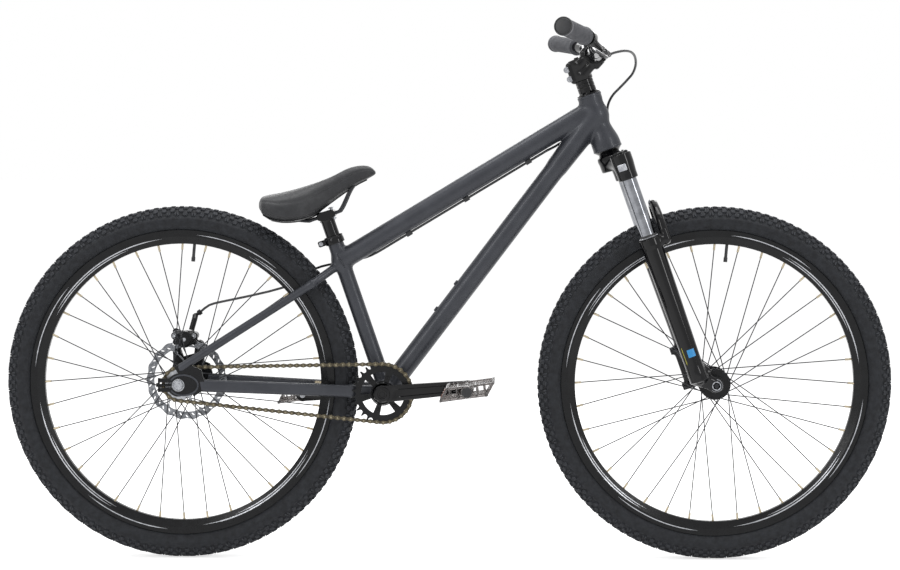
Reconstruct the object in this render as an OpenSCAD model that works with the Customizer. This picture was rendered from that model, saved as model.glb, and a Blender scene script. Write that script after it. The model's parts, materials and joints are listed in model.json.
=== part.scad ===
// Dirt jump bicycle with a single speed, a sprung fork and a rear disc brake.
// Millimetres. +X is forward, +Y is the rider's left, +Z is up.
// The origin is on the ground, midway between the two axles.

/* [Wheels] */
// Outside diameter of both tyres
tyre_od = 686; // [676:1:700]
// Width of both tyres
tyre_w = 52; // [50:1:54]
// Diameter of the shoulder that the tyre bead sits on
bead_seat_d = 584; // [580:1:586]
// Inside diameter of the rim, where the spokes enter
rim_inner_d = 540; // [536:1:546]
// Outside width of the rim
rim_w = 30; // [28:1:32]
// Wall thickness of the rim
rim_wall = 2; // [1.5:0.1:2.5]
// Distance between the two axles
wheel_base = 1034; // [1020:1:1060]
// Spokes in each wheel, laced three-cross
spoke_count = 36; // [28:4:36]
// Diameter of a spoke
spoke_d = 2; // [1.8:0.1:2.2]

/* [Hubs] */
// Width of the front hub between the fork ends
front_hub_w = 100; // [98:1:104]
// Width of the rear hub between the dropouts
rear_hub_w = 135; // [133:1:138]
// Diameter of the hub flanges
flange_d = 60; // [56:1:62]
// Diameter of the hub barrel
hub_barrel_d = 34; // [30:1:36]
// Diameter of the rear axle
rear_axle_d = 10; // [9:0.5:12]
// Diameter of the front axle
front_axle_d = 9; // [8:0.5:10]
// Diameter of the rear brake rotor
rotor_d = 160; // [156:1:164]
// Diameter of the six-bolt circle of the rotor mount
rotor_pcd = 44; // [42:1:46]

/* [Frame] */
// Height of the bottom bracket below the axles
bb_drop = 17; // [10:1:25]
// Angle of the seat tube from the ground
seat_angle = 71; // [70:0.5:72]
// Angle of the steering axis from the ground
head_angle = 70.5; // [69.5:0.5:71.5]
// Length of the seat tube above the bottom bracket
seat_tube_len = 318; // [310:1:330]
// Outside diameter of the seat tube
seat_tube_d = 31; // [30:0.5:33]
// Outside diameter of the top tube
top_tube_d = 40; // [36:1:42]
// Outside diameter of the down tube
down_tube_d = 40; // [38:1:44]
// Wall thickness of the main tubes
tube_wall = 2; // [1.6:0.1:2.4]
// Height of the top tube joint above the bottom bracket, along the seat tube
top_joint = 269; // [262:1:274]
// Length of the head tube
head_len = 112; // [106:1:118]
// Diameter of the flared lower end of the head tube
head_low_d = 56; // [54:1:60]
// Diameter of the upper end of the head tube
head_top_d = 46; // [45:1:50]
// Diameter of the waist of the head tube
head_waist_d = 40; // [38:1:42]
// Width of the bottom bracket shell
bb_shell_w = 73; // [70:1:76]
// Outside diameter of the bottom bracket shell
bb_shell_d = 42; // [41:1:46]
// Diameter of a seat stay
seat_stay_d = 16; // [14:1:17]
// Height of a chain stay
chain_stay_h = 24; // [20:1:26]
// Width of a chain stay
chain_stay_w = 13; // [12:1:14]
// Thickness of a dropout plate
dropout_t = 7; // [6:0.5:8]
// Spacing of the two bottle bosses
boss_gap = 64; // [60:1:68]

/* [Drivetrain] */
// Teeth on the chainring
ring_teeth = 28; // [28:4:28]
// Teeth on the rear cog
cog_teeth = 16; // [16:1:16]
// Links in the chain
chain_links = 84; // [84:2:84]
// Pitch of the chain
chain_pitch = 12.7; // [12.6:0.05:12.8]
// Distance of the chain from the middle of the frame
chain_line = 50; // [49:0.5:51]
// Length of a crank arm between its two holes
crank_len = 165; // [160:1:172]
// Angle of the right crank arm above level
crank_angle = 5; // [0:1:10]
// Diameter of the crank spindle
spindle_d = 24; // [22:1:25]
// Length of a pedal platform, front to back
pedal_len = 110; // [100:1:114]
// Width of a pedal platform
pedal_w = 97; // [90:1:104]
// Thickness of a pedal platform
pedal_h = 26; // [25.5:0.5:29]
// Angle that the pedals tip nose-up
pedal_tip = 7.5; // [0:0.5:12]

/* [Fork] */
// Distance of the axle ahead of the steering axis
fork_offset = 44; // [40:1:46]
// Distance of the fork legs ahead of the steering axis
crown_offset = 16; // [14:1:18]
// Height of the crown race above the axle, along the steering axis
crown_height = 490; // [486:1:496]
// Spacing of the fork legs, centre to centre
leg_gap = 130; // [128:1:134]
// Diameter of the stanchions
stanchion_d = 30; // [28:1:32]
// Travel of the fork
fork_travel = 100; // [80:5:100]
// Diameter of the steerer
steerer_d = 28.6; // [27.8:0.1:29.2]

/* [Cockpit] */
// Length of the stem, from the steerer to the bar
stem_len = 41; // [38:1:48]
// Upward angle of the stem from square to the steerer
stem_rise = 29; // [20:1:32]
// Overall width of the handlebar
bar_w = 744; // [730:1:760]
// Diameter of the bar in the stem
bar_clamp_d = 31.8; // [31:0.1:32.4]
// Diameter of the bar at the grips
bar_d = 22.2; // [21.8:0.1:22.6]
// Rise of the bar ends above the middle of the bar, along the steering axis
bar_rise = 57; // [45:1:65]
// Distance of the bar ends behind the middle of the bar
bar_back = 52; // [45:1:60]
// Length of a grip
grip_len = 132; // [120:1:140]
// Diameter of a grip
grip_d = 32; // [30:1:34]

/* [Seat] */
// Diameter of the seatpost
seatpost_d = 27.2; // [26.6:0.1:27.6]
// Length of the seatpost
seatpost_len = 240; // [220:1:260]
// Exposed seatpost above the seat tube
seatpost_out = 32; // [30:1:60]
// Width of the saddle
saddle_w = 136; // [126:1:146]

/* [Hidden] */
$fn = 48;
fit = 0.05;
skin = 0.1;
gap = 0.3;

// Wheel places
wheel_r = tyre_od / 2;
rear = [-wheel_base / 2, 0, wheel_r];
front = [wheel_base / 2, 0, wheel_r];

// Chain geometry: the links that are left after the teeth set the chain stay length
ring_r = ring_teeth * chain_pitch / (2 * PI);
cog_r = cog_teeth * chain_pitch / (2 * PI);
open_len = chain_links * chain_pitch - PI * (ring_r + cog_r);
centre_len = (open_len + sqrt(pow(open_len, 2) - 8 * pow(ring_r - cog_r, 2))) / 4;
bb = [rear[0] + sqrt(pow(centre_len, 2) - pow(bb_drop, 2)), 0, wheel_r - bb_drop];

// Steering axis: its foot is the point nearest the front axle
lean = 90 - head_angle;
foot = [front[0] - fork_offset * cos(lean), 0, front[2] - fork_offset * sin(lean)];
head_low = crown_height + 6;
head_top = head_low + head_len;
function steer(n, y, s) = foot + [n * cos(lean) - s * sin(lean), y, n * sin(lean) + s * cos(lean)];

// Frame points
tube_aim = 5;
tube_base = bb + [tube_aim, 0, 0];
seat_dir = [-cos(seat_angle), 0, sin(seat_angle)];
function on_seat(t, y = 0, ahead = 0) = tube_base + t * seat_dir
    + [ahead * sin(seat_angle), y, ahead * cos(seat_angle)];
seat_top = on_seat(seat_tube_len);
top_joint_drop = 28;
down_joint_rise = 70;
top_head = steer(0, 0, head_top - top_joint_drop);
down_head = steer(0, 0, head_low + down_joint_rise);
function unit(v) = v / norm(v);
down_dir = unit(down_head - tube_base);
down_up = [-down_dir[2], 0, down_dir[0]];
top_dir = unit(top_head - on_seat(top_joint));
top_under = [top_dir[2], 0, -top_dir[0]];
boss_low = 186;
boss_r = 5;
boss_bore_r = 2.1;
boss_h = 2.5;
seat_bore_r = seatpost_d / 2 + fit;
bb_bore_r = 17;
cup_flange_t = 4;

// Places across the rear of the frame
dropout_in = rear_hub_w / 2;
dropout_mid = dropout_in + dropout_t / 2;
dropout_out = dropout_in + dropout_t;
dropout_h = 44;
dropout_tail = 36;
slot_h = rear_axle_d + 0.6;
stay_bend = [rear[0] + 255, 40, rear[2] + 193];
stay_root = on_seat(top_joint - 8, 9, -14);
stay_end = [rear[0] + 4, dropout_mid, rear[2] + 34];
chain_bend = [rear[0] + 332, 38, rear[2] - 14];
chain_root = [bb[0] - 16, 27, bb[2] + 2];
chain_end = [rear[0] + 46, dropout_mid - 2, rear[2] - 1];

// Rotor and caliper
rotor_t = 1.8;
rotor_y = rear_hub_w / 2 - 15.3;
front_rotor_y = front_hub_w / 2 - 10.5;
rotor_bolt_r = 2.5;
caliper_angle = 92;
caliper_r = rotor_d / 2 - 8;
caliper_slot = 3;
arm_r = 26;

// Hubs
flange_t = 3;
front_flange_y = 28;
rear_flange_y = 31;
bearing_r = 13;

// Fork
stanchion_r = stanchion_d / 2;
steerer_r = steerer_d / 2;
leg_y = leg_gap / 2;
crown_low = crown_height - 60;
crown_mid_low = crown_height - 36;
crown_h = 28;
leg_top = crown_low - fork_travel - 20;
leg_bottom = 34;
leg_top_r = stanchion_r + 5.8;
leg_low_r = stanchion_r + 1.9;
stanchion_low = leg_bottom + fork_travel + 16;
stanchion_len = crown_mid_low + crown_h - 4 - stanchion_low;
arch_r = 84;
arch_in_r = 60;
arch_mid_s = 300;
arch_back = crown_offset + stanchion_r + 7;
arch_t = 17;
post_gap = 74;
post_low = 6;
post_bore_r = 2.5;

// Cockpit, in the steering frame
spacer_h = 24;
stem_low = head_top + 6 + spacer_h;
stem_h = 40;
stem_r = 19;
stem_mid = stem_low + stem_h / 2;
bar_n = stem_len * cos(stem_rise);
bar_s = stem_mid + stem_len * sin(stem_rise);
bar_y = bar_w / 2;
bar_end = [bar_n - bar_back, bar_y, bar_s + bar_rise];
bar_bend = [bar_n - 5, 205, bar_s + 23];
grip_dir = unit(bar_end - bar_bend);
sweep = -atan2(grip_dir[0], grip_dir[1]);
upsweep = asin(grip_dir[2]);
bar_flat = 40;
bar_taper = 66;
face_gap = 2;
lever_at = bar_bend + 16 * grip_dir;
lever_drop = 62;
lever_reach = 42;
lever_pin_r = 2.5;

// Crank set
spindle_r = spindle_d / 2;
ring_t = 3;
ring_y = chain_line;
arm_in = chain_line + 8;
arm_t = 15;
arm_mid = arm_in + arm_t / 2;
arm_big_r = 17;
arm_small_r = 13;
pedal_axle_r = 6;
pedal_bore_r = pedal_axle_r + fit;
pedal_in = arm_in + arm_t + 4;
pedal_mid = pedal_in + pedal_w / 2;
pedal_skew = 18;
pedal_wall = 4.5;
crank_vec = crank_len * [cos(crank_angle), 0, sin(crank_angle)];
right_pedal_at = bb + crank_vec;
left_pedal_at = bb - crank_vec;

// Saddle: stations run from the tail to the nose
// Each is distance along, half width as a share, top height, edge height, bottom height
post_top = on_seat(seat_tube_len + seatpost_out);
saddle_stations = [
    [-108, 0.62, 26, 12, 2], [-102, 0.84, 29, 8, -9], [-88, 0.97, 33, 2, -20], [-68, 1, 36, -6, -25],
    [-44, 0.94, 41, -8, -24], [-22, 0.78, 46, -2, -12], [0, 0.56, 53, 12, 4], [28, 0.4, 63, 30, 23],
    [58, 0.32, 76, 50, 43], [86, 0.29, 85, 66, 60], [104, 0.25, 86, 74, 70], [114, 0.15, 80, 76, 74],
];
clamp_ahead = 18;
rail_tilt = 17;
rail_low = -12.8;
function rail_height(x) = rail_low + (x - 10) * tan(rail_tilt);
saddle_origin = post_top + [-2 - clamp_ahead, 0, 11.2 - rail_height(clamp_ahead)];
rail_y = 22;
rail_r = 3.5;

// Cables, in the ground frame, from the lever to the caliper
housing_d = 5;
loop_route = [
    [305.1, -188.2, 971.8], [315, -176, 976], [333, -154, 980], [347, -130, 979], [356, -104, 971],
    [359, -76, 957], [355, -50, 942], [345, -30, 929], [332, -14, 915], [319, 0, 901],
    [311, 11, 885], [309, 19, 868], [311, 24, 853],
];
housing_route = [
    [311, 24, 853], [312, 28, 839], [303, 33, 827], [280, 34, 819], [254, 32, 817], [228, 23, 813],
    [208, 8, 802], [192, 0, 794], [182, 0, 788], [132, 0, 758], [52, 0, 710], [-28, 0, 662],
    [-98, 0, 620], [-108, 0, 614], [-138, 2, 596], [-160, 15, 586], [-184, 28, 580],
    [-206, 33, 576], [-236, 42, 570],
    [-262, 48, 562], [-290, 51, 545], [-321, 54, 526], [-390, 66, 508], [-450, 78, 495],
    [-475, 81, 488], [-491, 82, 476],
];

// Generic helpers
// How much the ball at a bend is larger than the tube
knuckle = 0.12;
module along(p, q) {
    d = q - p;
    translate(p) rotate([0, acos(d[2] / norm(d)), atan2(d[1], d[0])]) children();
}
module rod(p, q, r, r2 = -1) {
    along(p, q) cylinder(h = norm(q - p), r1 = r, r2 = r2 < 0 ? r : r2);
}
module bent_rod(points, r) {
    for (i = [0 : len(points) - 2]) rod(points[i], points[i + 1], r);
    if (len(points) > 2) for (i = [1 : len(points) - 2]) translate(points[i]) sphere(r = r + knuckle);
}
module both_sides() {
    children();
    mirror([0, 1, 0]) children();
}
module on_steer(n = 0, y = 0, s = 0) {
    translate(foot) rotate([0, -lean, 0]) translate([n, y, s]) children();
}
// A round bar along Y between two places
module across(x, z, y1, y2, r) {
    translate([x, y2, z]) rotate([90, 0, 0]) cylinder(h = y2 - y1, r = r);
}
// A flat plate in the XZ plane, from y1 to y2, of an outline drawn in X and Z
module plate(y1, y2) {
    translate([0, y2, 0]) rotate([90, 0, 0]) linear_extrude(y2 - y1) children();
}
module spin_y() {
    rotate([90, 0, 0]) rotate_extrude($fn = 128) children();
}
// Outline of a lever with two round ends
module arm_outline(len, r1, r2) {
    t = acos((r1 - r2) / len);
    polygon(concat(
        [for (k = [0 : 24]) let (a = t + (360 - 2 * t) * k / 24) r1 * [cos(a), sin(a)]],
        [for (k = [0 : 16]) let (a = 2 * t * k / 16 - t) [len, 0] + r2 * [cos(a), sin(a)]]
    ));
}
// A closed skin over rings of equal point counts, with flat ends
module loft(rings) {
    n = len(rings[0]);
    m = len(rings);
    points = [for (ring = rings) for (p = ring) p];
    sides = [
        for (i = [0 : m - 2]) for (j = [0 : n - 1]) each [
            [i * n + j, (i + 1) * n + j, i * n + (j + 1) % n],
            [(i + 1) * n + j, (i + 1) * n + (j + 1) % n, i * n + (j + 1) % n],
        ],
    ];
    first = [for (j = [0 : n - 1]) j];
    last = [for (j = [n - 1 : -1 : 0]) (m - 1) * n + j];
    polyhedron(points, concat(sides, [first, last]), convexity = 6);
}
// A round tube swept along points in space
function tangent(pts, i) = unit(pts[min(i + 1, len(pts) - 1)] - pts[max(i - 1, 0)]);
module swept_tube(pts, r, sides = 8) {
    loft([
        for (i = [0 : len(pts) - 1])
            let (t = tangent(pts, i), u = unit(cross(t, [0.13, 0.29, 0.95])), v = cross(t, u))
                [for (k = [0 : sides - 1]) let (a = 360 * k / sides) pts[i] + r * (cos(a) * u - sin(a) * v)]
    ]);
}
// Points between route points, on a smooth curve through them
function curve_point(a, b, c, d, t) = 0.5 * (2 * b + (c - a) * t
    + (2 * a - 5 * b + 4 * c - d) * t * t + (3 * b - a - 3 * c + d) * t * t * t);
function smooth(pts, steps) = [
    for (i = [0 : len(pts) - 2]) for (k = [0 : steps - 1])
        curve_point(pts[max(i - 1, 0)], pts[i], pts[i + 1], pts[min(i + 2, len(pts) - 1)], k / steps),
    pts[len(pts) - 1],
];

// Solids that more than one piece is cut to fit
module head_outline(grow = 0) {
    low_r = head_low_d / 2 + grow;
    top_r = head_top_d / 2 + grow;
    waist_r = head_waist_d / 2 + grow;
    rotate_extrude($fn = 96) polygon([
        [0, 0], [low_r, 0], [low_r, 14], [waist_r, 46], [waist_r, head_len - 22],
        [top_r, head_len - 12], [top_r, head_len], [0, head_len],
    ]);
}
module head_solid(grow = 0) {
    on_steer(s = head_low) head_outline(grow);
}
module seat_solid(grow = 0) {
    rod(tube_base, seat_top, seat_tube_d / 2 + grow);
}
module bb_solid(grow = 0) {
    across(bb[0], bb[2], -bb_shell_w / 2, bb_shell_w / 2, bb_shell_d / 2 + grow);
}
module top_solid(grow = 0) {
    rod(on_seat(top_joint), top_head, top_tube_d / 2 + grow);
}
flare_len = 120;
flare_r = 5;
module down_solid(grow = 0) {
    rod(tube_base, down_head, down_tube_d / 2 + grow);
    rod(down_head - flare_len * down_dir, down_head,
        down_tube_d / 2 + grow, down_tube_d / 2 + flare_r + grow);
}

// Frame
module head_tube() {
    color("dimgray") difference() {
        head_solid();
        on_steer(s = head_low - 1) cylinder(h = head_len + 2, r = steerer_r + 2.7);
        on_steer(s = head_low - 1) cylinder(h = 11 + 1, r = bearing_low_r + fit);
        on_steer(s = head_top - 9) cylinder(h = 10, r = bearing_top_r + fit);
    }
}
module top_tube() {
    color("dimgray") difference() {
        top_solid();
        rod(on_seat(top_joint) - top_dir, top_head + top_dir, top_tube_d / 2 - tube_wall);
        head_solid(skin);
        seat_solid(skin);
    }
}
module down_tube() {
    color("dimgray") difference() {
        union() {
            down_solid();
            for (t = [boss_low, boss_low + boss_gap]) rod(
                boss_at(t) - (boss_h + tube_wall) * down_up, boss_at(t), boss_r);
        }
        rod(tube_base - down_dir, down_head + down_dir, down_tube_d / 2 - tube_wall);
        rod(down_head - flare_len * down_dir, down_head + down_dir,
            down_tube_d / 2 - tube_wall, down_tube_d / 2 + flare_r - tube_wall);
        for (t = [boss_low, boss_low + boss_gap])
            rod(boss_at(t) - 12 * down_up, boss_at(t) + down_up, boss_bore_r);
        head_solid(skin);
        top_solid(skin);
        seat_solid(skin);
        bb_solid(skin);
    }
}
function boss_at(t) = tube_base + t * down_dir + (down_tube_d / 2 + boss_h) * down_up;
module seat_tube() {
    color("dimgray") difference() {
        seat_solid();
        rod(tube_base - seat_dir, seat_top + seat_dir, seat_bore_r);
        bb_solid(skin);
        across(seat_top[0] - 20, seat_top[2] - 8, -1, 1, 14);
    }
}
module bottom_bracket_shell() {
    color("dimgray") difference() {
        bb_solid();
        across(bb[0], bb[2], -bb_shell_w, bb_shell_w, bb_bore_r);
    }
}
module chainstays() {
    color("dimgray") difference() {
        both_sides() intersection() {
            union() {
                for (dz = [-1, 1]) bent_rod([
                    for (p = [chain_root, chain_bend, chain_end])
                        p + [0, 0, dz * (chain_stay_h - chain_stay_w) / 2],
                ], chain_stay_w / 2);
                chain_web(chain_root, chain_bend);
                chain_web(chain_bend, chain_end);
            }
            translate([rear[0], 0, 0]) cube([centre_len * 2, 200, 1000]);
        }
        bb_solid(skin);
        seat_solid(skin);
        dropout_plates(skin);
    }
}
// Flat sides between the round top and bottom of a chain stay
module chain_web(p, q) {
    d = q - p;
    h = chain_stay_h - chain_stay_w;
    translate(p) rotate([0, 0, atan2(d[1], d[0])]) rotate([0, -atan2(d[2], norm([d[0], d[1]])), 0])
        translate([0, 0.3 - chain_stay_w / 2, -h / 2]) cube([norm(d), chain_stay_w - 0.6, h]);
}
module seatstays() {
    color("dimgray") difference() {
        both_sides() bent_rod([stay_root, stay_bend, stay_end], seat_stay_d / 2);
        seat_solid(skin);
        dropout_plates(skin);
    }
}
lug_at = [[-20, 52], [24, 68]];
module dropout_outline(grow) {
    round_r = dropout_h / 2 + grow;
    circle(r = round_r, $fn = 64);
    translate([18, 0]) circle(r = round_r - 2, $fn = 64);
    translate([-dropout_tail, -13 - grow]) square([dropout_tail, 26 + 2 * grow]);
    polygon([
        [0, round_r], [-8, 36 + grow], [14, 42 + grow], [44, 30 + grow], [50 + grow, 8 + grow],
        [50 + grow, -8 - grow], [30, -round_r],
    ]);
}
// Plate above the left dropout that carries the two caliper lugs
module lug_outline(grow) {
    for (lug = lug_at) translate(lug) circle(r = 9 + grow);
    polygon([
        [-29 - grow, 10], [-29 - grow, 52], [-11 + grow, 52], [-8 + grow, 44], [13 - grow, 50],
        [15 - grow, 68], [33 + grow, 68], [33 + grow, 20], [0, 0],
    ]);
}
module dropout_plates(grow = 0) {
    both_sides() translate([rear[0], 0, rear[2]])
        plate(dropout_in - grow, dropout_out + grow) dropout_outline(grow);
    translate([rear[0], 0, rear[2]]) plate(dropout_in - grow, dropout_out + grow) lug_outline(grow);
}
module dropouts() {
    color("black") difference() {
        dropout_plates();
        both_sides() across(rear[0], rear[2], dropout_in - 1, dropout_out + 1, slot_h / 2);
        both_sides() translate([rear[0] - dropout_tail - 1, dropout_in - 1, rear[2] - slot_h / 2])
            cube([dropout_tail + 1, dropout_t + 2, slot_h]);
        for (lug = lug_at)
            across(rear[0] + lug[0], rear[2] + lug[1],
                dropout_in - 1, dropout_out + 1, caliper_bolt_r + fit);
    }
}
bearing_low_r = head_low_d / 2 - 3;
bearing_top_r = head_top_d / 2 - 2.5;
race_r = steerer_r + 0.9;
module headset_bearings() {
    color("silver") {
        on_steer(s = head_low + 2) difference() {
            cylinder(h = 9, r = bearing_low_r);
            translate([0, 0, -1]) cylinder(h = 11, r = race_r + fit);
        }
        on_steer(s = head_top - 9) difference() {
            cylinder(h = 8, r = bearing_top_r);
            translate([0, 0, -1]) cylinder(h = 10, r = steerer_r + fit);
        }
    }
}
module bottom_bracket_cups() {
    color("black") both_sides() difference() {
        union() {
            across(bb[0], bb[2], bb_shell_w / 2 - 14, bb_shell_w / 2, bb_bore_r - fit);
            across(bb[0], bb[2], bb_shell_w / 2, bb_shell_w / 2 + cup_flange_t, bb_shell_d / 2);
        }
        across(bb[0], bb[2], 0, bb_shell_w, spindle_r + fit);
    }
}
collar_h = 16;
collar_t = 3.5;
module seat_clamp() {
    color("black") difference() {
        union() {
            rod(seat_top - (collar_h - 2) * seat_dir, seat_top + 2 * seat_dir, seat_tube_d / 2 + collar_t);
            translate(on_seat(seat_tube_len - collar_h / 2 + 2, 0, -seat_tube_d / 2 - 8))
                rotate([0, seat_angle - 90, 0]) cube([18, 15, 12], center = true);
        }
        seat_solid(fit);
        rod(seat_top - seat_dir, seat_top + 4 * seat_dir, seat_bore_r);
        translate(on_seat(seat_tube_len - collar_h / 2 + 2, 0, -seat_tube_d / 2 - 8))
            rotate([0, seat_angle - 90, 0]) cube([30, 2, 40], center = true);
        clamp_screw(0.1);
    }
    color("silver") clamp_screw(0);
}
module clamp_screw(grow) {
    at = on_seat(seat_tube_len - collar_h / 2 + 2, 0, -seat_tube_d / 2 - 11);
    across(at[0], at[2], -9, 9, 2.4 + grow);
    across(at[0], at[2], -11.7, -7.6, 4.5 + grow);
}
tensioner_x = dropout_tail + skin;
module chain_tensioners() {
    color("black") both_sides() translate([rear[0], 0, rear[2]]) {
        difference() {
            translate([-tensioner_x - 3, dropout_in + 1, -14]) cube([3, dropout_t - 2, 28]);
            translate([0, dropout_mid, 0]) rotate([0, -90, 0]) cylinder(h = 80, r = 2.55);
        }
        translate([-rear_axle_d / 2 - 1, dropout_mid, 0]) rotate([0, -90, 0])
            cylinder(h = tensioner_x - rear_axle_d / 2 + 6, r = 2.5);
    }
}
axle_nut_t = 6;
axle_nut_r = 10.5;
module rear_axle() {
    color("silver") {
        across(rear[0], rear[2], -dropout_out - axle_nut_t, dropout_out + axle_nut_t, rear_axle_d / 2);
        both_sides() difference() {
            across(rear[0], rear[2], dropout_out, dropout_out + axle_nut_t, axle_nut_r);
            across(rear[0], rear[2], dropout_out - 1, dropout_out + 9, rear_axle_d / 2 + fit);
        }
        both_sides() difference() {
            across(rear[0], rear[2], dropout_in - 5, dropout_in, 8.5);
            across(rear[0], rear[2], dropout_in - 6, dropout_in + 1, rear_axle_d / 2 + fit);
        }
    }
}
clip_ts = [140, 270, 410];
module cable_clips() {
    color("black") for (t = clip_ts) {
        at = on_seat(top_joint) + t * top_dir + (top_tube_d / 2) * top_under;
        difference() {
            translate(at) rotate([0, -atan2(top_dir[2], top_dir[0]), 0])
                translate([-6, -5, -housing_d - 2.5]) cube([12, 10, housing_d + 3]);
            top_solid(skin);
            rod([-108, 0, 614], [192, 0, 794], housing_d / 2 + fit);
        }
    }
}

// Chain: pins are spaced by one pitch along the line around both toothed wheels
wrap = asin((ring_r - cog_r) / centre_len);
chain_slope = atan2(bb_drop, bb[0] - rear[0]);
run_len = centre_len * cos(wrap);
ring_arc = PI * ring_r * (180 + 2 * wrap) / 180;
cog_arc = PI * cog_r * (180 - 2 * wrap) / 180;
ring_start = 90 + wrap - chain_slope;
cog_start = ring_start - 180 - 2 * wrap;
function arc_point(c, r, a) = [c[0] + r * cos(a), c[2] + r * sin(a)];
function chain_point(s) =
    s < ring_arc ? arc_point(bb, ring_r, ring_start - 180 * s / (PI * ring_r))
    : s < ring_arc + run_len
        ? let (t = (s - ring_arc) / run_len)
            (1 - t) * arc_point(bb, ring_r, cog_start) + t * arc_point(rear, cog_r, cog_start)
    : s < ring_arc + run_len + cog_arc
        ? arc_point(rear, cog_r, cog_start - 180 * (s - ring_arc - run_len) / (PI * cog_r))
    : let (t = (s - ring_arc - run_len - cog_arc) / run_len)
        (1 - t) * arc_point(rear, cog_r, ring_start) + t * arc_point(bb, ring_r, ring_start);
chain_total = ring_arc + cog_arc + 2 * run_len;
link_step = chain_total / chain_links;
roller_r = 3.9;
pin_r = 1.8;
plate_t = 1;
inner_w = 3.4;
outer_gap = 0.15;
module link_plate(len, y, r) {
    plate(y, y + plate_t) {
        circle(r = r, $fn = 24);
        translate([len, 0]) circle(r = r, $fn = 24);
        translate([0, -r * 0.7]) square([len, r * 1.4]);
    }
}
module inner_link(len) {
    difference() {
        union() {
            for (y = [-inner_w / 2 - plate_t, inner_w / 2]) link_plate(len, y, 4.1);
            for (x = [0, len]) across(x, 0, -inner_w / 2, inner_w / 2, roller_r);
        }
        for (x = [0, len]) across(x, 0, -5, 5, pin_r + fit);
    }
}
module outer_link(len) {
    y1 = inner_w / 2 + plate_t + outer_gap;
    for (y = [-y1 - plate_t, y1]) link_plate(len, y, 4.1);
    for (x = [0, len]) across(x, 0, -y1 - plate_t - 0.5, y1 + plate_t + 0.5, pin_r);
}
module chain() {
    color("darkkhaki") for (i = [0 : chain_links - 1]) {
        p = chain_point(i * link_step);
        q = chain_point(i == chain_links - 1 ? 0 : (i + 1) * link_step);
        translate([p[0], -chain_line, p[1]]) rotate([0, -atan2(q[1] - p[1], q[0] - p[0]), 0])
            if (i % 2 == 0) inner_link(norm(q - p)); else outer_link(norm(q - p));
    }
}
// Space between a seated roller and the root of its gap
root_gap = 0.35;
// Width of a gap a little beyond the tips of the teeth, wide enough for rollers that swing in and out
tooth_gap = 12.4;
// A toothed disc: the gaps between teeth are cut where the chain's rollers sit
module toothed_disc(r, teeth, first_angle) {
    difference() {
        circle(r = r + 3.4, $fn = 96);
        for (k = [0 : teeth - 1]) let (a = first_angle + k * 360 / teeth) {
            root = roller_r + root_gap;
            translate(r * [cos(a), sin(a)]) circle(r = root, $fn = 20);
            rotate(a) polygon([
                [r - 0.6, -root], [r + 5, -tooth_gap / 2], [r + 5, tooth_gap / 2], [r - 0.6, root],
            ]);
        }
    }
}

// Brake cable and caliper
module brake_housing() {
    color("black") swept_tube(smooth(housing_route, 2), housing_d / 2);
}
module brake_housing_loop() {
    color("black") swept_tube(smooth(loop_route, 2), housing_d / 2);
}
caliper_at = [rear[0] + caliper_r * cos(caliper_angle), rotor_y, rear[2] + caliper_r * sin(caliper_angle)];
caliper_bolt_r = 3;
barrel_at = [rear[0] + 26, 82, rear[2] + 133];
barrel_dir = unit([0.8, 0, 0.6]);
barrel_len = 18;
pad_r = 11;
caliper_side = dropout_in - 0.5;
module caliper_body() {
    color("black") difference() {
        union() {
            translate([caliper_at[0] - 26, rotor_y - 19, caliper_at[2] - 9])
                cube([52, caliper_side - rotor_y + 19, 34]);
            across(caliper_at[0], caliper_at[2] + 8, caliper_side - 2, rotor_y + 27, 17);
            // Bracket that reaches the lugs of the left dropout
            translate([rear[0] + lug_at[0][0], 0, rear[2] + lug_at[0][1]])
                plate(dropout_in - 6, dropout_in - skin) rotate(lug_turn) arm_outline(lug_gap, 8.4, 8);
            rod(barrel_at - (barrel_len + 0.2) * barrel_dir, barrel_at - (barrel_len + 8) * barrel_dir, 6);
            rod(barrel_at - (barrel_len + 5) * barrel_dir, [rear[0] + 14, 64, caliper_at[2] + 16], 5);
        }
        translate([rear[0], rotor_y + caliper_slot / 2, rear[2]]) rotate([90, 0, 0])
            cylinder(h = caliper_slot, r = rotor_d / 2 + 3);
        for (lug = lug_at)
            across(rear[0] + lug[0], rear[2] + lug[1],
                dropout_in - 14, dropout_out + 1, caliper_bolt_r + fit);
        across(caliper_at[0], caliper_at[2] + 8, rotor_y + 11.5, rotor_y + 40, 6 + fit);
        for (side = [-1, 1]) across(caliper_at[0], caliper_at[2] - 2,
            rotor_y + side * 4.5 - 3.5, rotor_y + side * 4.5 + 3.5, pad_r + fit);
    }
    color("goldenrod") for (side = [-1, 1]) across(caliper_at[0], caliper_at[2] - 2,
        rotor_y + side * 4.5 - 3.3, rotor_y + side * 4.5 + 3.3, pad_r);
    color("black") rod(barrel_at - barrel_len * barrel_dir, barrel_at - 0.1 * barrel_dir, 5.5);
}
lug_step = lug_at[1] - lug_at[0];
lug_gap = norm(lug_step);
lug_turn = atan2(lug_step[1], lug_step[0]);
module caliper_bolts() {
    color("silver") for (lug = lug_at) {
        across(rear[0] + lug[0], rear[2] + lug[1], dropout_in - 13, dropout_out, caliper_bolt_r);
        across(rear[0] + lug[0], rear[2] + lug[1], dropout_out, dropout_out + 4, 5);
    }
}
module brake_arm() {
    pivot = caliper_at + [0, 0, 8];
    color("black") {
        across(pivot[0], pivot[2], rotor_y + 12, rotor_y + 27 + gap, 6);
        translate([pivot[0], 0, pivot[2]]) plate(rotor_y + 27 + gap, rotor_y + 32)
            rotate(150) arm_outline(arm_r, 9, 6);
    }
}

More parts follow.
